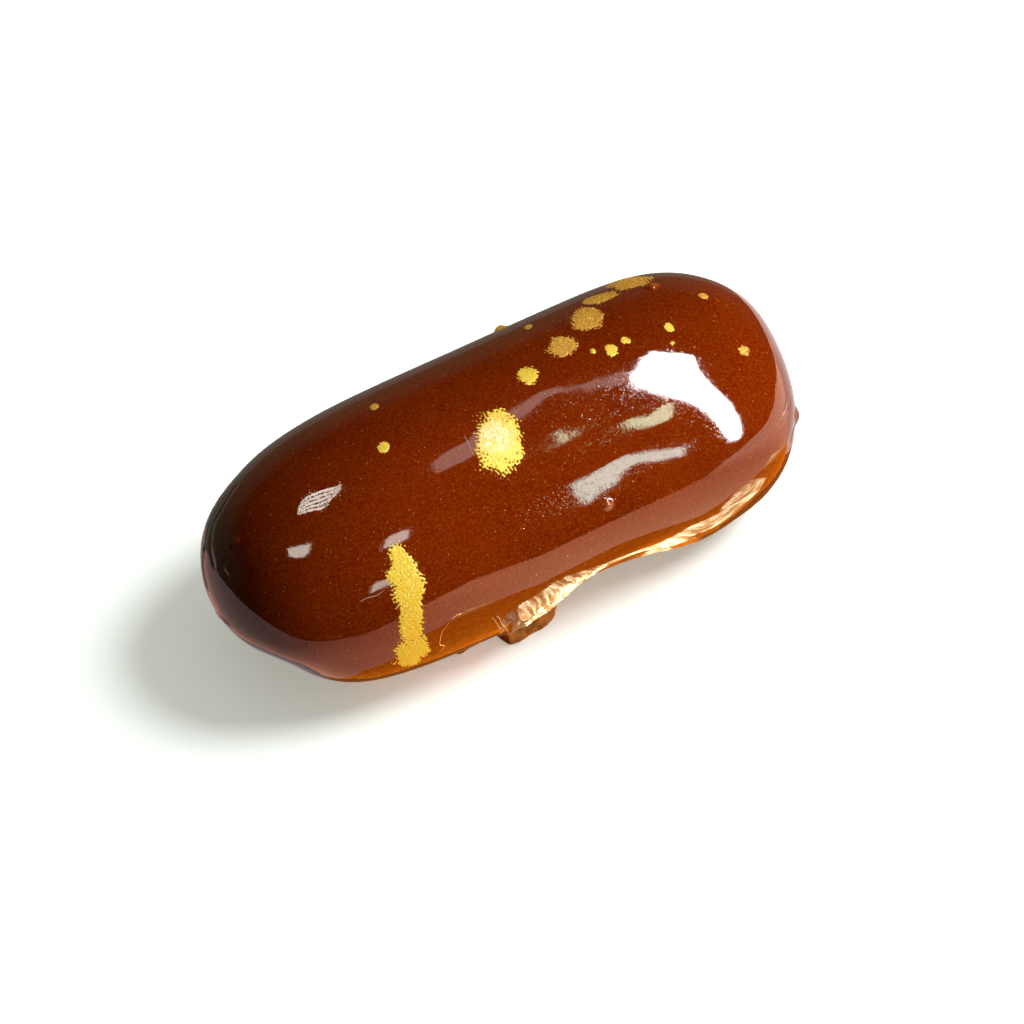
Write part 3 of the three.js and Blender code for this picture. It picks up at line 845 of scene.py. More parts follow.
# %% [markdown]
# The glaze carries the finest mica in its skin: thin flat grains that lie almost level with it. Where the
# mirror image of a window ends, the ones that are tipped towards it still flash, and inside it the ones that
# are tipped away go dark, so every highlight gets a grainy edge. A soft roughness would only blur the edge.
# The grains are spread by the area of the skin, so that they are as dense on the ends as on the crown.

# %% Mica in the skin of the glaze
MICA_FLAKES = 23000
MICA_SIDES = 4
MICA_TIP = 0.014
MICA_THICKNESS = 0.012
MICA_PROUD = 0.003
MICA_RADII = (0.05, 0.11)


def cell_sides(grid):
    """The step down and the step along from the first corner of every cell of a grid."""
    return (grid[1:-3] - grid[:-4]).reshape(-1, 3), (np.roll(grid, -1, axis=1) - grid)[:-4].reshape(-1, 3)


area = np.linalg.norm(np.cross(*cell_sides(skin)), axis=-1)
random = np.random.default_rng(31)
cell = random.choice(len(area), size=MICA_FLAKES, p=area / area.sum())
share_down, share_along = random.random((2, MICA_FLAKES, 1))


def at_mica(grid):
    """What a grid of the skin has at each grain, between the corners of its cell."""
    down, along = cell_sides(grid)
    return grid[:-4].reshape(-1, 3)[cell] + share_down * down[cell] + share_along * along[cell]


mica_centres, mica_normals = at_mica(skin), at_mica(skin_normals)
mica_centres = mica_centres + MICA_PROUD * mica_normals
mica_radii = random.uniform(*MICA_RADII, MICA_FLAKES)
mica_grains = flakes(mica_centres, mica_normals, mica_radii, 32, MICA_TIP, MICA_SIDES, MICA_THICKNESS)
mica = mesh_piece("glaze_mica", *mica_grains, "glaze", smooth=False)

# %% [markdown]
# A finish is a small tree of nodes, and the same few branches come back in all of them: a noise, a soft step, a
# bump, a mix of two colours. Each is a short function here, so that a finish below reads like a recipe. They
# work in the object's own space in millimetres, so that a finish stays put on the surface from every side.

# %% Node helpers
def add_node(tree, kind, **values):
    """A node with its properties set, and its input sockets by their index or name."""
    node = tree.nodes.new(kind)
    for key, value in values.items():
        if key.startswith("in_"):
            label = key[3:].replace("_", " ")
            node.inputs[int(label) if label.isdigit() else label].default_value = value
        else:
            setattr(node, key, value)
    return node


def set_or_link(tree, value, socket):
    """Gives a socket its value: a number, a colour, or the output of another node."""
    if isinstance(value, bpy.types.NodeSocket):
        tree.links.new(value, socket)
    elif isinstance(value, tuple):
        socket.default_value = (*value, 1.0)
    else:
        socket.default_value = value


def math_node(tree, operation, first, second, clamp=False):
    node = add_node(tree, "ShaderNodeMath", operation=operation, use_clamp=clamp)
    set_or_link(tree, first, node.inputs[0])
    set_or_link(tree, second, node.inputs[1])
    return node.outputs[0]


def times(tree, first, second):
    return math_node(tree, "MULTIPLY", first, second)


def object_millimetres(tree):
    coordinates = tree.nodes.new("ShaderNodeTexCoord")
    scale = add_node(tree, "ShaderNodeVectorMath", operation="SCALE")
    scale.inputs["Scale"].default_value = 1.0 / MM
    tree.links.new(coordinates.outputs["Object"], scale.inputs[0])
    return scale.outputs[0]


# %% [markdown]
# From those come the branches themselves. The steps turn a height, a direction or a noise into a mask between
# nothing and all, the spot does so round one place on the eclair, and the bump turns a height into relief.

# %% Noise, steps, spots and bumps
def object_noise(tree, scale, detail, roughness=0.5, vector=None):
    """Noise on the object, with so many humps to a millimetre."""
    noise = add_node(tree, "ShaderNodeTexNoise", in_Detail=detail, in_Roughness=roughness)
    set_or_link(tree, scale, noise.inputs["Scale"])
    tree.links.new(object_millimetres(tree) if vector is None else vector, noise.inputs["Vector"])
    return noise.outputs[0]


def split_axes(tree, vector):
    axes = tree.nodes.new("ShaderNodeSeparateXYZ")
    tree.links.new(vector, axes.inputs[0])
    return axes.outputs


def even_step(tree, value, start, end, low=0.0, high=1.0):
    """A straight climb from low at start to high at end."""
    step = add_node(tree, "ShaderNodeMapRange", in_1=start, in_2=end, in_3=low, in_4=high)
    tree.links.new(value, step.inputs[0])
    return step.outputs[0]


def soft_step(tree, value, start, end):
    """A gentle climb from 0 at start to 1 at end."""
    step = add_node(tree, "ShaderNodeMapRange", interpolation_type="SMOOTHSTEP", in_1=start, in_2=end)
    tree.links.new(value, step.inputs[0])
    return step.outputs[0]


def near_spot(tree, spot, reach, full=0.0):
    """One at a spot of the eclair, and nothing beyond its reach, in mm."""
    away = add_node(tree, "ShaderNodeVectorMath", operation="DISTANCE")
    away.inputs[1].default_value = Vector(spot) - Vector(middle)
    tree.links.new(object_millimetres(tree), away.inputs[0])
    return soft_step(tree, away.outputs["Value"], reach, full)


def bump_from(tree, height, strength, distance, under=None):
    bump = add_node(tree, "ShaderNodeBump", in_Strength=strength, in_Distance=distance)
    tree.links.new(height, bump.inputs["Height"])
    if under is not None:
        tree.links.new(under, bump.inputs["Normal"])
    return bump.outputs[0]


# %% [markdown]
# Two effects are shared by several finishes, so each is a node group with named inputs. The first is a cloud
# of slow variation, for glaze that is a little thicker here and thinner there. The second is a scatter of
# small grains, for dust in the glaze and for the sparkle in the gold. Its dome output is the height of a round
# grain, for a bump.

# %% Shared node groups
GRAIN_REACH = 0.42
CLOUD_MIDDLE = 0.5


def new_group(name, inputs, outputs):
    """A node group whose sockets are plain numbers."""
    group = bpy.data.node_groups.new(name, "ShaderNodeTree")
    for label, value in inputs.items():
        socket = group.interface.new_socket(label, in_out="INPUT", socket_type="NodeSocketFloat")
        socket.default_value = value
    for label in outputs:
        group.interface.new_socket(label, in_out="OUTPUT", socket_type="NodeSocketFloat")
    entry = group.nodes.new("NodeGroupInput")
    leave = group.nodes.new("NodeGroupOutput")
    return group, entry.outputs, leave.inputs


cloud_group, entry, leave = new_group("glaze_cloud", dict(Size=8.0, Contrast=1.0), ["Cloud"])
noise = object_noise(cloud_group, math_node(cloud_group, "DIVIDE", 1.0, entry["Size"]), 4.0, 0.55)
centred = math_node(cloud_group, "SUBTRACT", noise, CLOUD_MIDDLE)
stretched = times(cloud_group, centred, entry["Contrast"])
cloud_group.links.new(math_node(cloud_group, "ADD", stretched, CLOUD_MIDDLE, clamp=True), leave["Cloud"])

grain_group, entry, leave = new_group("dust_grain", dict(Size=0.3, Coverage=0.2), ["Grain", "Shade", "Dome"])
cells = add_node(grain_group, "ShaderNodeTexVoronoi", feature="F1")
grain_group.links.new(object_millimetres(grain_group), cells.inputs["Vector"])
grain_group.links.new(math_node(grain_group, "DIVIDE", 1.0, entry["Size"]), cells.inputs["Scale"])
split = grain_group.nodes.new("ShaderNodeSeparateColor")
grain_group.links.new(cells.outputs["Color"], split.inputs[0])
chosen = math_node(grain_group, "LESS_THAN", split.outputs[0], entry["Coverage"])
round_grain = math_node(grain_group, "LESS_THAN", cells.outputs["Distance"], GRAIN_REACH)
cone = math_node(grain_group, "ADD", times(grain_group, cells.outputs["Distance"], -2.0), 1.0, clamp=True)
grain_group.links.new(times(grain_group, chosen, round_grain), leave["Grain"])
grain_group.links.new(split.outputs[1], leave["Shade"])
grain_group.links.new(times(grain_group, times(grain_group, cone, cone), chosen), leave["Dome"])
print("node groups:", [group.name for group in bpy.data.node_groups])

# %% [markdown]
# A finish is then built up like coats of paint: a colour, and over it other colours where a shared effect says,
# each up to its own share. The shader itself stays in the material, because the export reads it there, and a
# value that is the same all over is set on the shader's own socket.

# %% Material helpers
def new_material(name):
    material = bpy.data.materials.new(name)
    material.use_nodes = True
    tree = material.node_tree
    tree.nodes.clear()
    output = tree.nodes.new("ShaderNodeOutputMaterial")
    return material, tree, output.inputs[0]


def use_group(tree, group, **values):
    node = tree.nodes.new("ShaderNodeGroup")
    node.node_tree = group
    for label, value in values.items():
        node.inputs[label].default_value = value
    return node.outputs


def mix_colour(tree, factor, first, second):
    node = add_node(tree, "ShaderNodeMix", data_type="RGBA")
    for value, socket in ((factor, node.inputs[0]), (first, node.inputs[6]), (second, node.inputs[7])):
        set_or_link(tree, value, socket)
    return node.outputs[2]


def coat(tree, under, colour, share, group, mask, **values):
    """A colour over another, where the mask of a shared effect says, up to so much of it."""
    return mix_colour(tree, times(tree, use_group(tree, group, **values)[mask], share), under, colour)


def finish_with(tree, output, colour, normal=None, **values):
    """The shader of a finish, with its colour and relief."""
    shader = add_node(tree, "ShaderNodeBsdfPrincipled", **values)
    tree.links.new(colour, shader.inputs["Base Color"])
    if normal is not None:
        tree.links.new(normal, shader.inputs["Normal"])
    tree.links.new(shader.outputs[0], output)
    return shader


# %% [markdown]
# Mirror glaze is cocoa, sugar and gelatine: a clear dark red-brown with a surface like wet varnish. Its body
# colour drifts a little, it turns lighter and warmer in its lowest few millimetres, it has a painted glow of
# light round its bubble, its pimple and two crumbs, and it carries the finest of the gold dust inside it. A
# low roughness gives the varnish, and a very fine bump breaks up the edge of a reflection as real sugar glaze
# does. Subsurface light was left out, because the dark colour hides it and it is slow.

# %% Glaze finish
GLAZE_DEEP = (0.182, 0.0110, 0.0003)
GLAZE_CLEAR = (0.270, 0.0215, 0.0006)
GLAZE_LOW_WARM = (0.480, 0.105, 0.006)
GLAZE_DUST = (0.72, 0.34, 0.06)
GLAZE_FLECKED = (0.46, 0.078, 0.002)
GLAZE_PAINTED_GLOW = (0.66, 0.17, 0.012)
GLAZE_ROUGHNESS = 0.02
LOW_WARMTH = dict(top=5.6, full=1.4, share=0.62)
GLOW_SPOTS = {"pimple": (1.0, 0.8), "bubble": (1.1, 0.7), "near_end_crumb": (0.6, 0.35)}
GLOW_SPOTS["near_end_crumb_three"] = GLOW_SPOTS["near_end_crumb"]
RIPPLE_HEIGHT = 0.00001
SUGAR_GRAIN = 0.21
SUGAR_HEIGHT = 0.0000022

glaze_material, tree, output = new_material("mirror_glaze")
body = coat(tree, GLAZE_DEEP, GLAZE_CLEAR, 1.0, cloud_group, "Cloud", Size=9.0, Contrast=1.9)
body = coat(tree, body, GLAZE_CLEAR, 0.25, cloud_group, "Cloud", Size=1.1, Contrast=1.6)
# The lowest few millimetres of the glaze are mixed towards a lighter, warmer brown, more so nearer the bottom.
level = split_axes(tree, object_millimetres(tree))["Z"]
thin = times(tree, soft_step(tree, level, LOW_WARMTH["top"], LOW_WARMTH["full"]), LOW_WARMTH["share"])
body = mix_colour(tree, thin, body, GLAZE_LOW_WARM)
body = coat(tree, body, GLAZE_FLECKED, 0.30, cloud_group, "Cloud", Size=0.32, Contrast=5.0)
body = coat(tree, body, GLAZE_DUST, 0.20, grain_group, "Grain", Size=0.15, Coverage=0.10)
body = coat(tree, body, GLAZE_DUST, 0.60, grain_group, "Grain", Size=0.22, Coverage=0.008)
# Painted glow: a lighter, warmer spot round the pimple, the bubble and two crumbs stands in for light shining
# through the glaze there.
for name, (spot_reach, share) in GLOW_SPOTS.items():
    spot = skin[skin_place(*DOMES[name][:2])]
    body = mix_colour(tree, times(tree, near_spot(tree, spot, spot_reach), share), body, GLAZE_PAINTED_GLOW)
ripple = bump_from(tree, object_noise(tree, 3.5, 2.0), 0.15, RIPPLE_HEIGHT)
sugar = use_group(tree, grain_group, Size=SUGAR_GRAIN, Coverage=0.40)["Dome"]
relief = bump_from(tree, sugar, 1.0, SUGAR_HEIGHT, under=ripple)
finish_with(tree, output, body, relief, in_Roughness=GLAZE_ROUGHNESS, in_IOR=1.5)
for piece in (glaze, glaze_threads):
    piece.data.materials.append(glaze_material)
print("glaze roughness:", GLAZE_ROUGHNESS)

# %% [markdown]
# The mica takes the colour of the glaze round it, a little warmer in some grains than in others, and shines
# as the glaze does. It shows by the way it is tipped, not by its colour.

# %% Mica finish
MICA_DARK = (0.21, 0.018, 0.0006)
MICA_WARM = (0.44, 0.090, 0.004)

mica_material, tree, output = new_material("mica_in_glaze")
colour = coat(tree, MICA_DARK, MICA_WARM, 1.0, grain_group, "Shade", Size=0.30, Coverage=0.5)
finish_with(tree, output, colour, in_Roughness=0.04, in_IOR=1.5)
mica.data.materials.append(mica_material)
print("mica colours:", MICA_DARK, MICA_WARM)

# %% [markdown]
# A scratch in a mirror glaze looks pale, because its torn sugar scatters light instead of mirroring a dark
# room. It is the glaze's own brown with more white in it, rough, and a little uneven along its length.

# %% Scratch finish
SCRATCH_PALE = (0.62, 0.50, 0.44)
SCRATCH_BROWN = (0.34, 0.17, 0.11)

scratch_material, tree, output = new_material("scratched_glaze")
colour = coat(tree, SCRATCH_BROWN, SCRATCH_PALE, 1.0, cloud_group, "Cloud", Size=0.5, Contrast=2.5)
finish_with(tree, output, colour, in_Roughness=0.55)
scratches.data.materials.append(scratch_material)
print("scratch colours:", SCRATCH_PALE, SCRATCH_BROWN)

# %% [markdown]
# Choux is matt and dry, pale straw inside its cracks and toasted brown on its high spots, with a fine crumb
# that catches the light. A cloud mixes the two crust colours, and noise makes the crumb.

# %% Choux finish
CHOUX_TOASTED = (0.27, 0.065, 0.007)
CHOUX_GOLDEN = (0.50, 0.16, 0.022)
CRUMB_HEIGHT = 0.00015

choux_material, tree, output = new_material("baked_choux")
colour = coat(tree, CHOUX_TOASTED, CHOUX_GOLDEN, 1.0, cloud_group, "Cloud", Size=2.2, Contrast=2.4)
colour = coat(tree, colour, CHOUX_TOASTED, 0.4, grain_group, "Grain", Size=0.35, Coverage=0.12)
relief = bump_from(tree, object_noise(tree, 4.0, 5.0), 0.6, CRUMB_HEIGHT)
finish_with(tree, output, colour, relief, in_Roughness=0.78, in_Specular_IOR_Level=0.1)
choux.data.materials.append(choux_material)
print("choux colours:", CHOUX_TOASTED, CHOUX_GOLDEN)

# %% [markdown]
# Lustre dust is mica with a metal coat. A heap of it scatters light almost like paint and sparkles like
# metal, so it is part metal, fairly rough, and grainy in colour and in height. Thick dust is lemon gold, and
# a thin film lets the brown glaze through and looks like bronze. Loose grains are the most metallic. The thick
# crust has a near-white painted highlight round one spot, and every gold finish has a faint painted glow of
# its own colour.

# %% Gold finishes
GOLD_FINISHES = {
    "gold_thick": dict(
        pale=(1.0, 0.83, 0.13), deep=(0.90, 0.55, 0.01), metal=0.04, rough=0.45, coverage=0.60, lustre=0.17
    ),
    "gold_thin": dict(
        pale=(1.0, 0.62, 0.09), deep=(0.52, 0.20, 0.010), metal=0.08, rough=0.48, coverage=0.55, lustre=0.20
    ),
    "gold_loose": dict(
        pale=(1.0, 0.78, 0.24), deep=(0.80, 0.46, 0.04), metal=0.45, rough=0.35, coverage=0.60, lustre=0.05
    ),
}
GOLD_GRAIN = 0.16
GOLD_SHADE = 0.30
GOLD_RELIEF = 0.00004
PAINTED_GLINT_HEART = (-3.6, -4.6, 28.0)
PAINTED_GLINT_REACH = 3.2
PAINTED_GLINT_FULL = 0.5
PAINTED_GLINT_PALE = (1.0, 0.96, 0.72)


def gold_material(name, pale, deep, metal, rough, coverage, lustre):
    material, tree, output = new_material(name)
    grain = use_group(tree, grain_group, Size=GOLD_GRAIN, Coverage=coverage)
    colour = mix_colour(tree, grain["Grain"], deep, pale)
    colour = mix_colour(tree, times(tree, grain["Shade"], GOLD_SHADE), colour, pale)
    # Painted highlight: round one spot on the thick crust, cloudy patches are mixed towards a near-white pale
    # gold.
    if name == "gold_thick":
        patches = use_group(tree, cloud_group, Size=0.7, Contrast=3.0)["Cloud"]
        painted_glint = near_spot(tree, PAINTED_GLINT_HEART, PAINTED_GLINT_REACH, PAINTED_GLINT_FULL)
        colour = mix_colour(tree, times(tree, painted_glint, patches), colour, PAINTED_GLINT_PALE)
    height = math_node(tree, "ADD", object_noise(tree, 7.0, 3.0), grain["Grain"])
    relief = bump_from(tree, height, 0.45, GOLD_RELIEF)
    # Painted glow: every gold finish also gives off a little light of its own colour, as much as its lustre
    # value says.
    shader = finish_with(
        tree, output, colour, relief,
        in_Roughness=rough, in_Metallic=metal, in_Specular_IOR_Level=0.25, in_Emission_Strength=lustre,
    )
    tree.links.new(colour, shader.inputs["Emission Color"])
    return material


gold = {name: gold_material(name, **finish) for name, finish in GOLD_FINISHES.items()}
gold_crust_thick.data.materials.append(gold["gold_thick"])
gold_crust_thin.data.materials.append(gold["gold_thin"])
for piece in (gold_grains, gold_flecks, gold_lines):
    piece.data.materials.append(gold["gold_loose"])
print("gold finishes:", list(gold))

# %% [markdown]
# A glossy food is lit twice. One soft light from the right gives the brown its shape and throws a soft shadow
# to the left. What makes it look wet is what it mirrors: a dark room with a few bright windows in it, and a
# sheet of white paper under it that stops short, which leaves a sharp band along the lower side. To hang them
# right, the script works backwards from the highlights. Each one is given by its outline in the picture, as
# pixel places, and every place is followed from the camera to the plain form of the glaze and on along its
# mirror ray. A strongly curved glaze stretches cards so much that placing them by eye takes many tries.

# %% From a picture place to what the glaze mirrors there
STAGE_DOME = 0.30
LEAST_SLOPE = 0.02

eye = camera.location / MM + Vector(middle)
plain_places = plain_skin.reshape(-1, 3)
plain_normals = grid_normals(plain_skin).reshape(-1, 3)
index = np.arange(len(plain_places)).reshape(plain_skin.shape[:2])
above, below = index[:-1], index[1:]
plain_quads = np.stack([above, below, np.roll(below, -1, axis=1), np.roll(above, -1, axis=1)], axis=-1)
plain_quads = plain_quads.reshape(-1, 4)
plain_tree = BVHTree.FromPolygons(plain_places.tolist(), plain_quads.tolist())


def mirror_ray(column, row):
    """The point of the glaze at a place in the picture, and the way that it mirrors there, in mm."""
    half_frame = FRAME_PIXELS / 2.0
    sight = picture_right * (column - half_frame) + picture_up * (half_frame - row)
    sight = (sight - to_camera * FOCAL_PIXELS).normalized()
    point, facing, face, distance = plain_tree.ray_cast(eye, sight)
    corners = plain_quads[face]
    weights = poly_3d_calc([Vector(place) for place in plain_places[corners]], point)
    normal = Vector(np.array(weights) @ plain_normals[corners]).normalized()
    return point - Vector(middle), sight.reflect(normal)


def on_dome(place):
    """Where the mirror ray of a picture place meets the dome that the cards hang on, in metres."""
    point, way = mirror_ray(*place)
    towards = point.dot(way)
    distance = math.sqrt(towards ** 2 + (STAGE_DOME / MM) ** 2 - point.length_squared) - towards
    return tuple((point + way * distance) * MM)


def on_floor(place):
    """Where the mirror ray of a picture place meets the floor, in mm."""
    point, way = mirror_ray(*place)
    return tuple((point - way * (point.z / min(way.z, -LEAST_SLOPE)))[:2])


print("plain form to follow rays on:", len(plain_quads), "faces")

# %% [markdown]
# The windows are cards that hang on an imagined dome round the eclair, where the mirror rays meet it. Only the
# shine sees them, so that they don't wash out the colour. A card is a ladder: each rung joins two places on the
# two long borders of a highlight. Behind most cards hang two wider fringes of bright grains, because the fine
# sugar in the glaze breaks the border of a reflection into a spray.

# %% Studio helpers
FRINGES = ((0.0031, 0.50), (0.0068, 0.20))
FRINGE_GRAIN = 2.4
FRINGE_BEHIND = 0.004


def stage_object(name, vertices, faces, material):
    mesh = bpy.data.meshes.new(name)
    mesh.from_pydata(vertices, [], faces)
    mesh.materials.append(material)
    thing = bpy.data.objects.new(name, mesh)
    bpy.context.scene.collection.objects.link(thing)
    return thing


def only_in_shine(thing):
    thing.visible_camera = False
    thing.visible_diffuse = False
    thing.visible_shadow = False
    thing.visible_transmission = False


def glow(tree, colour, strength, kind="ShaderNodeEmission"):
    """A glowing shader, or the glow of the room. Both values may be numbers or outputs."""
    node = tree.nodes.new(kind)
    set_or_link(tree, colour, node.inputs["Color"])
    set_or_link(tree, strength, node.inputs["Strength"])
    return node.outputs[0]


def mix_shaders(tree, factor, first, second):
    both = tree.nodes.new("ShaderNodeMixShader")
    for socket, value in zip(both.inputs, (factor, first, second)):
        tree.links.new(value, socket)
    return both.outputs[0]


def glow_material(name, colour, strength):
    material, tree, output = new_material(name)
    tree.links.new(glow(tree, colour, strength), output)
    return material


def grainy_material(name, colour, strength, coverage):
    """A glow that is broken up into grains, and see-through between them."""
    material, tree, output = new_material(name)
    grain = use_group(tree, grain_group, Size=FRINGE_GRAIN, Coverage=coverage)["Grain"]
    clear = tree.nodes.new("ShaderNodeBsdfTransparent").outputs[0]
    tree.links.new(mix_shaders(tree, grain, clear, glow(tree, colour, strength)), output)
    return material


def ladder(name, rungs, material):
    faces = [(2 * k, 2 * k + 1, 2 * k + 3, 2 * k + 2) for k in range(len(rungs) - 1)]
    only_in_shine(stage_object(name, rungs.reshape(-1, 3).tolist(), faces, material))


def widened(rungs, reach):
    """The rungs of the same card with its outline so much further out, in metres."""
    corners = rungs.copy()
    centre_line = rungs.mean(axis=1)

    def step(towards):
        return reach * towards / np.linalg.norm(towards, axis=-1, keepdims=True)

    across = step(rungs[:, 1] - rungs[:, 0])
    corners[:, 0] -= across
    corners[:, 1] += across
    corners[0] += step(centre_line[0] - centre_line[1])
    corners[-1] += step(centre_line[-1] - centre_line[-2])
    return corners


def card_rungs(highlight):
    """The rungs of a card on the dome, from those of its highlight in the picture."""
    return np.array([[on_dome(place) for place in rung] for rung in highlight])


def hang_card(name, rungs, colour, strength, fringes=FRINGES):
    ladder(name, rungs, glow_material(name, colour, strength))
    for order, (reach, coverage) in enumerate(fringes):
        label = "%s_fringe_%d" % (name, order)
        behind = 1.0 + FRINGE_BEHIND * (order + 1)
        ladder(label, widened(rungs, reach) * behind, grainy_material(label, colour, strength, coverage))


# %% [markdown]
# The glaze shows one big white window with a dim glow beside it, two cream reflectors, a long pearly side
# window, a striped blind, and three small windows at the near end and the front. Their outlines are read off
# the picture, rung by rung, from one end of each highlight to the other. The bars of the blind are
# even strips between its two long borders.

# %% Cards and windows
WHITE = (1.0, 1.0, 1.0)
WARM_WHITE = (1.0, 0.97, 0.84)
CREAM = (0.83, 1.0, 0.63)
PEARL = (0.81, 1.0, 0.87)
ROSE = (1.0, 0.80, 0.70)
WINDOW = [
    ((628, 379), (640, 361)), ((636, 388), (652, 352)), ((648, 391), (672, 353)), ((663, 394), (694, 356)),
    ((677, 399), (697, 366)), ((690, 404), (703, 378)), ((702, 411), (712, 387)), ((712, 420), (724, 397)),
    ((719, 428), (735, 410)), ((725, 436), (742, 424)), ((732, 441), (741, 438)),
]
WINDOW_GLOW = [
    ((628, 385), (628, 374)), ((612, 388), (612, 377)), ((598, 389), (596, 379)), ((583, 387), (583, 384)),
    ((565, 390), (560, 386)), ((540, 401), (534, 395)), ((528, 410), (518, 403)), ((520, 416), (511, 408)),
    ((478, 452), (470, 440)), ((462, 462), (456, 447)), ((448, 468), (440, 455)), ((436, 474), (430, 465)),
]
REFLECTOR = [
    ((618, 426), (618, 424)), ((626, 427), (626, 420)), ((636, 428), (636, 418)), ((646, 427), (648, 417)),
    ((656, 425), (656, 411)), ((664, 422), (660, 407)), ((671, 418), (668, 404)), ((674, 411), (672, 405)),
]
REFLECTOR_SMALL = [
    ((554, 434), (554, 432)), ((558, 443), (562, 430)), ((562, 445), (568, 431)), ((568, 440), (576, 432)),
]
SIDE_WINDOW = [
    ((577, 493), (574, 481)), ((583, 499), (580, 479)), ((589, 500), (586, 479)), ((595, 502), (592, 474)),
    ((601, 492), (600, 469)), ((608, 489), (607, 464)), ((621, 470), (622, 458)), ((635, 464), (637, 454)),
    ((650, 461), (651, 451)), ((668, 458), (668, 449)), ((686, 456), (684, 447)),
]
BLIND = [
    ((297, 515), (299, 506)), ((303, 514), (302, 501)), ((310, 512), (309, 495)), ((320, 511), (320, 490)),
    ((326, 508), (328, 488)), ((331, 500), (337, 486)), ((339, 493), (342, 484)),
]
BLIND_BARS = 5
BLIND_GAP = 0.035
NEAR_WINDOW = [
    ((289, 556), (288, 549)), ((296, 558), (295, 547)), ((303, 557), (303, 545)), ((309, 553), (311, 544)),
]
FRONT_WINDOW = [
    ((383, 549), (385, 541)), ((390, 547), (390, 536)), ((398, 544), (398, 533)), ((407, 538), (408, 530)),
]
FRONT_WINDOW_LOW = [
    ((372, 593), (374, 585)), ((378, 590), (379, 582)), ((384, 587), (385, 580)), ((391, 585), (391, 579)),
]

hang_card("window", card_rungs(WINDOW), WHITE, 42.0)
hang_card("window_glow", card_rungs(WINDOW_GLOW), ROSE, 3.0, fringes=())
hang_card("reflector", card_rungs(REFLECTOR), CREAM, 14.4)
hang_card("reflector_small", card_rungs(REFLECTOR_SMALL), CREAM, 13.2)
hang_card("side_window", card_rungs(SIDE_WINDOW), PEARL, 13.9)
low_side, high_side = card_rungs(BLIND).swapaxes(0, 1)
for bar in range(BLIND_BARS):
    start, end = bar / BLIND_BARS + BLIND_GAP, (bar + 1) / BLIND_BARS - BLIND_GAP
    rungs = np.stack([low_side + (high_side - low_side) * share for share in (start, end)], axis=1)
    hang_card("blind_bar_%d" % bar, rungs, WARM_WHITE, 15.0, fringes=())
hang_card("near_window", card_rungs(NEAR_WINDOW), WARM_WHITE, 10.0)
hang_card("front_window", card_rungs(FRONT_WINDOW), WARM_WHITE, 9.0)
hang_card("front_window_low", card_rungs(FRONT_WINDOW_LOW), WARM_WHITE, 8.0)

# %% [markdown]
# The band along the lower side is the mirror image of the paper. Its upper border is the paper's far edge, and
# below its lower border the glaze mirrors a warm bounce sheet instead. Both borders are picture places too, and
# each sheet is closed by three plain corners behind the eclair. The paper's colour changes along its length, as
# the light on it does.

# %% The paper that only the shine sees
PAPER_HEIGHT = 0.0
PAPER_END = 100.0
BACK_BELOW = 0.01
BAND_TOP = [
    (205, 545), (212, 560), (230, 589), (245, 605), (265, 620), (280, 630), (296, 638), (337, 640), (365, 634),
    (391, 623), (430, 602), (450, 592), (470, 581), (505, 568), (540, 556), (600, 527), (700, 480), (725, 460),
    (750, 440), (775, 390), (775, 360), (765, 333),
]
PAPER = [on_floor(place) for place in BAND_TOP] + [(80, 34), (36, 26), (0, 24)]
PAPER_SHADES = {
    0.0: (0.62, 0.52, 0.53), 0.25: (0.70, 0.45, 0.40), 0.38: (2.2, 0.80, 0.46),
    0.55: (3.6, 1.62, 0.90), 0.75: (2.2, 1.05, 0.62), 0.95: (3.1, 2.15, 1.6),
}
PAPER_BACK = [
    (-61, 37), (-40, 30), (0, 24), (36, 26), (80, 34), (100, 60), (60, 95), (0, 105), (-55, 85), (-85, 50),
]
PAPER_BACK_TINT = (0.95, 1.0, 0.8)
PAPER_BACK_STRENGTH = 0.20


def floor_sheet(name, outline, height_mm, material):
    vertices = [(x * MM, y * MM, height_mm * MM) for x, y in outline]
    only_in_shine(stage_object(name, vertices, [tuple(range(len(outline)))], material))


paper_material, tree, output = new_material("paper_glow")
across = even_step(tree, split_axes(tree, object_millimetres(tree))["X"], -PAPER_END, PAPER_END)
shades = tree.nodes.new("ShaderNodeValToRGB")
tree.links.new(across, shades.inputs[0])
while len(shades.color_ramp.elements) < len(PAPER_SHADES):
    shades.color_ramp.elements.new(0.5)
for stop, (position, colour) in zip(shades.color_ramp.elements, PAPER_SHADES.items()):
    stop.position = position
    stop.color = (*colour, 1.0)
tree.links.new(glow(tree, shades.outputs[0], 1.0), output)
floor_sheet("paper", PAPER, PAPER_HEIGHT, paper_material)
paper_back_material = glow_material("paper_back_glow", PAPER_BACK_TINT, PAPER_BACK_STRENGTH)
floor_sheet("paper_back", PAPER_BACK, PAPER_HEIGHT - BACK_BELOW, paper_back_material)
print("paper outline:", len(PAPER), "points")

# %% [markdown]
# The bounce sheet warms the lowest part of the glaze. Where a mirror ray meets it steeply it is dim and deep
# orange, and where the ray comes in at a slant it is bright and pale. A mottle keeps it from looking flat.

# %% The bounce sheet that only the shine sees
BOUNCE_DIM = (1.0, 0.24, 0.01)
BOUNCE_DIM_STRENGTH = 2.1
BOUNCE_BRIGHT = (1.0, 0.76, 0.36)
BOUNCE_BRIGHT_STRENGTH = 16.0
BOUNCE_ABOVE = 0.02
BAND_BOTTOM = [
    (342, 678), (365, 670), (391, 660), (426, 634), (470, 609), (540, 584), (620, 544), (700, 516), (735, 492),
    (772, 455), (784, 445),
]
BOUNCE = [on_floor(place) for place in BAND_BOTTOM] + [(40, 20), (5, 26), (-28, 20)]

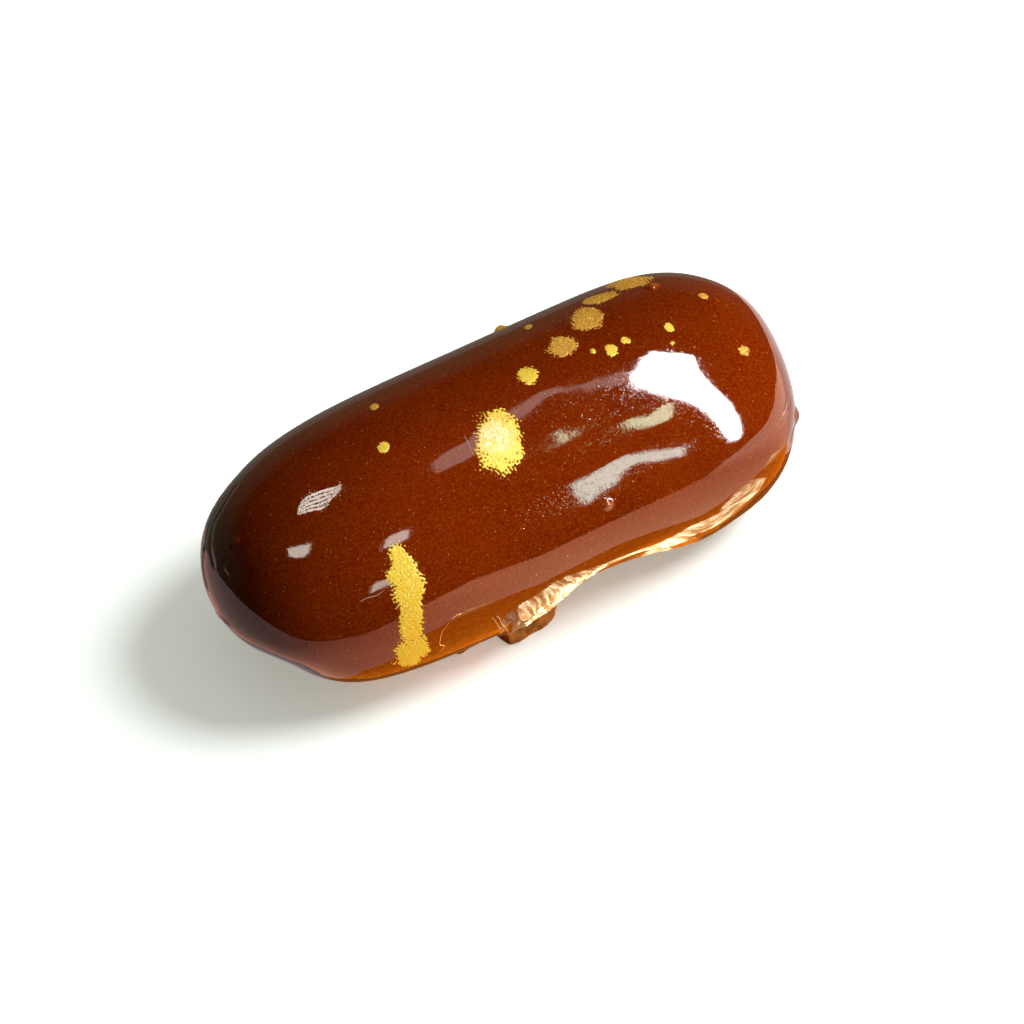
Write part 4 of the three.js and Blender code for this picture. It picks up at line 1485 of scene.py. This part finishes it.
bounce_material, tree, output = new_material("bounce_glow")
facing = add_node(tree, "ShaderNodeLayerWeight", in_Blend=0.5).outputs["Facing"]
mottle = even_step(tree, object_noise(tree, 0.9, 4.0, 0.65), 0.40, 0.65, 0.75, 1.25)
dim = glow(tree, BOUNCE_DIM, times(tree, mottle, BOUNCE_DIM_STRENGTH))
bright = glow(tree, BOUNCE_BRIGHT, times(tree, mottle, BOUNCE_BRIGHT_STRENGTH))
tree.links.new(mix_shaders(tree, soft_step(tree, facing, 0.30, 0.55), dim, bright), output)
floor_sheet("bounce", BOUNCE, PAPER_HEIGHT + BOUNCE_ABOVE, bounce_material)
print("bounce outline:", len(BOUNCE), "points")

# %% [markdown]
# Along its outline a glossy body mirrors almost everything that lies just beyond it, at nearly full strength,
# so a floor that is right for the broad band would burn a bright line round the edge. Three dim sheets lie
# where only those grazing rays land: beyond the near end, beyond the far end, and under the belly. The dark
# brown one under the belly is painted shade, for the floor in the eclair's own shadow.

# %% Dim sheets for the outline
OUTLINE_ABOVE = 0.03
OUTLINE_SHEETS = {
    "beyond_near_end": (
        [(-40.5, 28), (-40.5, -3), (-36, -9), (-31, -10), (-22, 0), (-18, 30)],
        (0.35, 0.28, 0.28),
    ),
    "beyond_far_end": (
        [(43, -13), (56, -17), (72, -17), (110, 8), (92, 21), (80, 33), (38, 25), (43, 8)],
        (1.10, 0.98, 0.92),
    ),
    # Painted shade: the dark brown sheet under the belly stands in for the floor in the eclair's own shadow.
    "painted_shade_under_belly": (
        [
            (-32, -10), (-29, -13.5), (-20, -15.5), (-8, -15), (-7, -12), (20, -12), (22, -15.5), (33, -17),
            (43, -13), (40, 14), (-24, 10),
        ],
        (0.42, 0.15, 0.03),
    ),
}
for name, (outline, colour) in OUTLINE_SHEETS.items():
    floor_sheet(name, outline, PAPER_HEIGHT + OUTLINE_ABOVE, glow_material(name + "_glow", colour, 1.0))
print("outline sheets:", list(OUTLINE_SHEETS))

# %% [markdown]
# The torn flap and the far lip face steeply down, so they mirror only the floor right beside the foot. In the
# photograph they glint, with bright streaks along their pleats. Two bright sheets and a dimmer one lie just
# there, where nothing else of the glaze mirrors them, and a noise that is drawn out along one axis makes the
# streaks.

# %% Bright streaks beside the foot
FLAP_GLINT = [
    (-4.3, -12.0), (-4.3, -21.6), (-3.4, -23.6), (-1.5, -24.2), (0.5, -25.0), (2.5, -26.0), (4.5, -26.2),
    (6.5, -25.2), (8.2, -23.6), (9.4, -20.4), (9.4, -17.0), (8.0, -12.0),
]
FLAP_SHADE = [(-7.6, -12.0), (-7.0, -19.5), (-6.2, -22.0), (-5.0, -22.8), (-4.3, -23.0), (-4.3, -12.0)]
LIP_GLINT = [
    (9.4, -22.0), (13.0, -16.6), (15.0, -14.8), (17.0, -16.4), (21.0, -20.2), (26.0, -21.0), (28.0, -24.0),
    (32.0, -26.0), (36.0, -26.5), (37.5, -20.0), (34.0, -18.5), (31.0, -18.5), (28.0, -17.5), (26.0, -17.3),
    (21.0, -17.2), (17.0, -13.6), (15.0, -12.2), (12.0, -13.5), (9.4, -17.0),
]
FLAP_ABOVE = 0.04
LIP_ABOVE = 0.05
GLINT_CREAM = (1.0, 0.83, 0.50)
GLINT_ROSE = (1.0, 0.62, 0.34)
GLINT_AMBER = (1.0, 0.50, 0.16)


def streaky_glow(name, colour, strength, low_share, along, across):
    """A glow with amber between its streaks: so many to a millimetre along X and along Y."""
    material, tree, output = new_material(name)
    stretch = add_node(tree, "ShaderNodeVectorMath", operation="MULTIPLY")
    stretch.inputs[1].default_value = (along, across, 1.0)
    tree.links.new(object_millimetres(tree), stretch.inputs[0])
    share = even_step(tree, object_noise(tree, 1.0, 3.0, 0.6, vector=stretch.outputs[0]), 0.42, 0.62)
    above_low = times(tree, share, strength * (1.0 - low_share))
    total = math_node(tree, "ADD", above_low, strength * low_share)
    tree.links.new(glow(tree, mix_colour(tree, share, GLINT_AMBER, colour), total), output)
    return material


flap_glow = streaky_glow("flap_glow", GLINT_CREAM, 11.0, 0.26, 1.2, 0.10)
shade_glow = streaky_glow("shade_glow", GLINT_ROSE, 2.2, 0.45, 1.1, 0.12)
lip_glow = streaky_glow("lip_glow", GLINT_CREAM, 9.0, 0.35, 0.3, 0.9)
floor_sheet("flap_glint", FLAP_GLINT, PAPER_HEIGHT + FLAP_ABOVE, flap_glow)
floor_sheet("flap_shade", FLAP_SHADE, PAPER_HEIGHT + FLAP_ABOVE, shade_glow)
floor_sheet("lip_glint", LIP_GLINT, PAPER_HEIGHT + LIP_ABOVE, lip_glow)
print("glint outlines:", len(FLAP_GLINT), len(FLAP_SHADE), len(LIP_GLINT), "points")

# %% [markdown]
# The floor is a large pale sheet just under the eclair. It is matt, with a little glow of its own, so that it
# comes out nearly white and still takes a soft shadow. The shine doesn't see it, because the paper and the
# sheets on it stand in for it there.

# %% Floor
FLOOR_SIZE = 0.9
FLOOR_BELOW = 0.00002
FLOOR_WHITE = (0.89, 0.95, 0.92)
FLOOR_SHADE = (0.97, 1.0, 0.87)
FLOOR_GLOW = 0.345

floor_material, tree, output = new_material("floor")
matt = tree.nodes.new("ShaderNodeBsdfDiffuse")
set_or_link(tree, FLOOR_WHITE, matt.inputs["Color"])
both = tree.nodes.new("ShaderNodeAddShader")
tree.links.new(matt.outputs[0], both.inputs[0])
tree.links.new(glow(tree, FLOOR_SHADE, FLOOR_GLOW), both.inputs[1])
tree.links.new(both.outputs[0], output)
half = FLOOR_SIZE / 2.0
floor_corners = [(-half, -half, 0), (half, -half, 0), (half, half, 0), (-half, half, 0)]
floor = stage_object("floor", floor_corners, [(0, 1, 2, 3)], floor_material)
floor.location.z = -FLOOR_BELOW
floor.visible_glossy = False
floor.visible_diffuse = False
print("floor, m:", FLOOR_SIZE)

# %% [markdown]
# The room does three jobs, told apart by the kind of ray. The camera sees plain white behind the floor. The
# shine sees a dark room with one faint wall, low at the back. Everything else gets a soft fill, stronger from
# above and a little stronger from the right.

# %% Room
BACK_WALL = 0.11
ROOM_DARK = 0.006
ROOM_TINT = (0.80, 1.0, 0.60)
FILL_TINT = (1.0, 0.98, 0.95)

world = bpy.data.worlds.new("studio")
bpy.context.scene.world = world
world.use_nodes = True
tree = world.node_tree
tree.nodes.clear()
output = tree.nodes.new("ShaderNodeOutputWorld").inputs[0]
ray = tree.nodes.new("ShaderNodeLightPath").outputs
way = split_axes(tree, tree.nodes.new("ShaderNodeTexCoord").outputs["Generated"])
upward = even_step(tree, way["Z"], -0.4, 0.9, 0.02, 0.06)
rightward = even_step(tree, way["X"], -1.0, 1.0, 1.0, 1.1)
horizon = soft_step(tree, way["Z"], 0.38, 0.05)
backward = even_step(tree, way["Y"], 0.2, 0.8, 0.02, 1.0)
wall = times(tree, times(tree, horizon, backward), BACK_WALL)
fill = glow(tree, FILL_TINT, times(tree, upward, rightward), "ShaderNodeBackground")
dark_room = glow(tree, ROOM_TINT, math_node(tree, "ADD", wall, ROOM_DARK), "ShaderNodeBackground")
white = glow(tree, WHITE, 1.0, "ShaderNodeBackground")
unseen = mix_shaders(tree, ray["Is Glossy Ray"], fill, dark_room)
tree.links.new(mix_shaders(tree, ray["Is Camera Ray"], unseen, white), output)
print("back wall strength:", BACK_WALL)

# %% [markdown]
# Four soft discs light the scene. Two of them light only the eclair and two only the floor, so that the shadow
# can be set against the photograph without changing the brown. None of them shows in the shine.

# %% Lights
LIGHTS = {
    "key": dict(azimuth=0.0, elevation=50.0, size=0.16, power=0.74, shadow=True),
    "front_light": dict(azimuth=-58.0, elevation=20.0, size=0.30, power=1.22, shadow=False),
    "floor_light": dict(azimuth=-15.0, elevation=51.5, size=0.60, power=15.75, shadow=True),
    "floor_fill": dict(azimuth=-20.0, elevation=88.0, size=2.40, power=5.40, shadow=True),
}
FLOOR_LIGHTS = ("floor_light", "floor_fill")
LIGHT_DISTANCE = 0.40
FLOOR_LIGHT_DISTANCE = 1.20
LIT_HEIGHT = 0.014

floor_only = bpy.data.collections.new("floor_only")
floor_only.objects.link(floor)
all_but_floor = bpy.data.collections.new("all_but_floor")
all_but_floor.objects.link(floor)
all_but_floor.collection_objects[0].light_linking.link_state = "EXCLUDE"
for name, light in LIGHTS.items():
    light_data = bpy.data.lights.new(name, "AREA")
    light_data.shape = "DISK"
    light_data.size = light["size"]
    light_data.energy = light["power"]
    light_data.use_shadow = light["shadow"]
    lamp = bpy.data.objects.new(name, light_data)
    a, e = math.radians(light["azimuth"]), math.radians(light["elevation"])
    towards = Vector((math.cos(e) * math.cos(a), math.cos(e) * math.sin(a), math.sin(e)))
    distance = FLOOR_LIGHT_DISTANCE if name in FLOOR_LIGHTS else LIGHT_DISTANCE
    lamp.location = towards * distance + Vector((0.0, 0.0, LIT_HEIGHT))
    lamp.rotation_mode = "QUATERNION"
    lamp.rotation_quaternion = towards.to_track_quat("Z", "Y")
    lamp.visible_glossy = False
    lamp.light_linking.receiver_collection = floor_only if name in FLOOR_LIGHTS else all_but_floor
    bpy.context.scene.collection.objects.link(lamp)
view = bpy.context.scene.view_settings
view.view_transform = "Standard"
view.look = "None"
print("lights, W:", {name: light["power"] for name, light in LIGHTS.items()})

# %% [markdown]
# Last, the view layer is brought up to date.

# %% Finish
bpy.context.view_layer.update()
